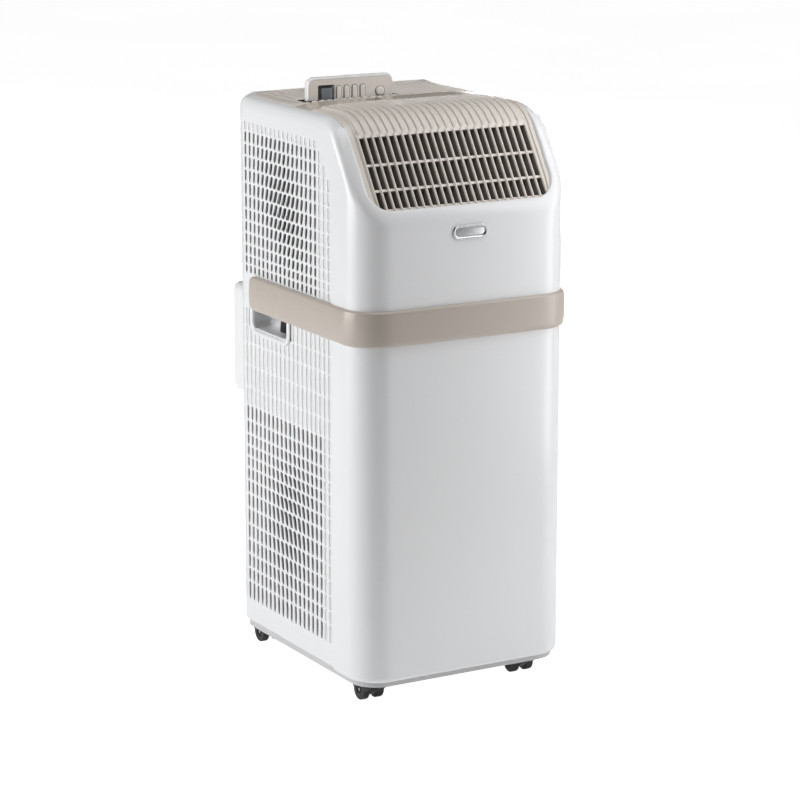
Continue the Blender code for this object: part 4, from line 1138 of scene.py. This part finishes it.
silver = moulding("badge_silver", (0.62, 0.63, 0.64), (0.55, 0.56, 0.57), 0.22, metallic=0.9, drift=0.5, wear=0.0,
                  dust=0.03)
badge_low, badge_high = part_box("badge_plate")
badge_seat = front - wall
badge_rings = []
for inset, out in [(0.0, 0.0), (0.0, 0.0009), (0.0004, 0.0016), (0.0011, 0.0019), (0.0018, 0.0016), (0.0023, 0.0006),
                   (0.0032, 0.0004), (0.0040, 0.0005)]:
    outline = round_rectangle((badge_low.x + inset, badge_low.z + inset), (badge_high.x - inset, badge_high.z - inset),
                              0.0078 - inset, 10)
    badge_rings.append([(x, badge_seat - out, z) for x, z in outline])
new_piece("badge_plaque", nested_rings("badge_plaque", badge_rings), silver,
          stands_for=("badge_plate",))

# ------------------------------------------------------------ rear wall
# The rear panel, its clip-on filter, the exhaust housing with its turning collar, the drain spout with a
# rubber plug and the cord gland. The CAD shapes stay; their edges are softened and their finish is added.

grey_satin = moulding("grey_satin", (0.34, 0.34, 0.35), (0.30, 0.30, 0.31), 0.4, bump=0.05, wear=0.2)
black_satin = moulding("black_satin", (0.022, 0.022, 0.024), (0.035, 0.035, 0.036), 0.42, bump=0.06, wear=0.12)
rubber = moulding("plug_rubber", (0.03, 0.03, 0.03), (0.045, 0.044, 0.043), 0.7, bump=0.12, dust=0.3)


def carried(node, finish, soft):
    """Keep a CAD node, with its finish and slightly rounded edges."""
    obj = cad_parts[node]
    obj.data.materials.clear()
    obj.data.materials.append(finish)
    if soft:
        softened(obj, soft)
    return obj


for node, finish, soft in [("rear_panel", white_gloss, 0.0005), ("exhaust_housing", white_gloss, 0.0022),
                           ("filter_frame", white_gloss, 0.0006), ("exhaust_collar", grey_satin, 0.0006),
                           ("drain_spout", black_satin, 0.0004), ("drain_plug", rubber, 0.0006),
                           ("cord_gland", black_satin, 0.0005)]:
    carried(node, finish, soft)


def own_axes(tree):
    """The object's own X, Y and Z."""
    place = tree.nodes.new("ShaderNodeTexCoord")
    split = tree.nodes.new("ShaderNodeSeparateXYZ")
    tree.links.new(place.outputs["Object"], split.inputs[0])
    return split.outputs


def raised(tree, pattern, strength):
    """Raise the finish's relief by a pattern."""
    relief = next(n for n in tree.nodes if n.type == "BUMP")
    tree.links.new(pattern, relief.inputs["Height"])
    relief.inputs["Strength"].default_value = strength


# The filter's sheet: a fine square mesh, shown in its colour and relief
mesh_finish = moulding("filter_mesh", (0.20, 0.20, 0.21), (0.26, 0.26, 0.27), 0.7, dust=0.4)
tree = mesh_finish.node_tree
thread_turn = 3900.0  # radians per metre
axes = own_axes(tree)
threads = []
for axis in ("X", "Z"):
    turn = worked(tree, "MULTIPLY", axes[axis], thread_turn)
    threads.append(worked(tree, "ABSOLUTE", worked(tree, "SINE", turn, 0.0), 0.0))
raised(tree, worked(tree, "MAXIMUM", threads[0], threads[1]), 0.5)
carried("filter_sheet", mesh_finish, 0.0)

# ------------------------------------------------------------ base and casters
# A grey drip pan closes the cabinet. Four low black casters turn under it, each a fork with two ribbed
# twin wheels on a steel axle.

pan_grey = moulding("pan_grey", (0.55, 0.55, 0.56), (0.50, 0.50, 0.51), 0.4, bump=0.04)
carried("base_pan", pan_grey, 0.0008)
wheel_black = moulding("wheel_black", (0.018, 0.018, 0.019), (0.035, 0.034, 0.033), 0.5, bump=0.08, wear=0.1,
                       dust=0.35)
steel = moulding("steel", (0.55, 0.56, 0.58), (0.48, 0.49, 0.51), 0.32, metallic=1.0, grain=500.0, wear=0.0)


def wheel_mesh(low, high, outside):
    """A wheel turned about X: hub with a dished face and spokes, tread with two fine grooves."""
    centre = (Vector(low) + Vector(high)) / 2
    radius = (high.z - low.z) / 2
    wide = high.x - low.x
    profile = [(0.0, 0.0016), (0.0022, 0.0016), (0.0026, 0.0011), (0.0030, 0.0022), (0.0058, 0.0024),
               (0.0066, 0.0006), (0.0094, 0.0002), (radius - 0.0009, 0.0), (radius - 0.0003, 0.0004),
               (radius, 0.0011), (radius, 0.0028), (radius - 0.0004, 0.0031), (radius, 0.0034),
               (radius, wide - 0.0034), (radius - 0.0004, wide - 0.0031), (radius, wide - 0.0028),
               (radius, wide - 0.0011), (radius - 0.0003, wide - 0.0004), (radius - 0.0009, wide),
               (0.0094, wide), (0.0, wide)]
    count = 40
    lines = []
    for i in range(count):
        angle = 2 * math.pi * i / count
        line = []
        for r, along in profile:
            spoke = 0.0007 if 0.0028 < r < 0.0060 and (i // 2) % 4 == 0 else 0.0
            x = centre.x + outside * (wide / 2 - along + spoke)
            line.append((x, centre.y + r * math.cos(angle), centre.z + r * math.sin(angle)))
        lines.append(line)
    mesh = grid_mesh("wheel", lines, closed=True)
    bm = bmesh.new()
    bm.from_mesh(mesh)
    bmesh.ops.remove_doubles(bm, verts=bm.verts, dist=1e-6)
    bmesh.ops.recalc_face_normals(bm, faces=bm.faces)
    bm.to_mesh(mesh)
    bm.free()
    mesh.shade_smooth()
    mesh.set_sharp_from_angle(angle=math.radians(45))
    return mesh


for corner in ("front_left", "front_right", "rear_left", "rear_right"):
    carried("caster_" + corner, black_satin, 0.0005)
    carried("axle_" + corner, steel, 0.0003)
    boxes = {part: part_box("wheel_" + corner + "_" + part) for part in "ab"}
    middle = sum(b[0].x + b[1].x for b in boxes.values()) / 4
    for part, (low, high) in boxes.items():
        outside = 1 if (low.x + high.x) / 2 > middle else -1
        new_piece("wheel_" + corner + "_" + part + "_tyre", wheel_mesh(low, high, outside), wheel_black,
                  body="wheels_" + corner, stands_for=("wheel_" + corner + "_" + part,))

# ------------------------------------------------------------ inside
# What the slots and the duct let one see: fin coils of aluminium and copper, black blowers in grey
# housings, steel motors, a black painted compressor and copper pipes.

aluminium = moulding("fin_aluminium", (0.62, 0.63, 0.64), (0.52, 0.53, 0.55), 0.38, metallic=1.0, grain=700.0,
                     wear=0.0, dust=0.2)
tree = aluminium.node_tree
fin_turn = 3300.0  # radians per metre
raised(tree, worked(tree, "SINE", worked(tree, "MULTIPLY", own_axes(tree)["X"], fin_turn), 0.0), 0.6)
can_metal = moulding("can_metal", (0.66, 0.67, 0.68), (0.58, 0.59, 0.60), 0.3, metallic=1.0, wear=0.0)
paint = moulding("compressor_paint", (0.02, 0.02, 0.022), (0.03, 0.03, 0.03), 0.35, bump=0.15, grain=300.0,
                 dust=0.3)
copper = moulding("copper", (0.72, 0.40, 0.26), (0.50, 0.27, 0.19), 0.32, metallic=1.0, drift=0.8, wear=0.1)
fan_black = moulding("fan_black", (0.02, 0.02, 0.02), (0.03, 0.03, 0.03), 0.5, dust=0.3)
inner_grey = moulding("inner_grey", (0.20, 0.20, 0.205), (0.17, 0.17, 0.175), 0.5, dust=0.2)

for node, finish, soft in [("partition_plate", inner_grey, 0.0006), ("evaporator_scroll", inner_grey, 0.0006),
                           ("condenser_drum", inner_grey, 0.0005), ("control_box", inner_grey, 0.001),
                           ("evaporator_coil", aluminium, 0.0), ("condenser_coil", aluminium, 0.0),
                           ("evaporator_motor", steel, 0.0006), ("condenser_motor", steel, 0.0006),
                           ("run_capacitor", can_metal, 0.001), ("compressor", paint, 0.0012),
                           ("discharge_pipe", copper, 0.0), ("suction_pipe", copper, 0.0),
                           ("evaporator_blower", fan_black, 0.0), ("condenser_blower", fan_black, 0.0)]:
    carried(node, finish, soft)
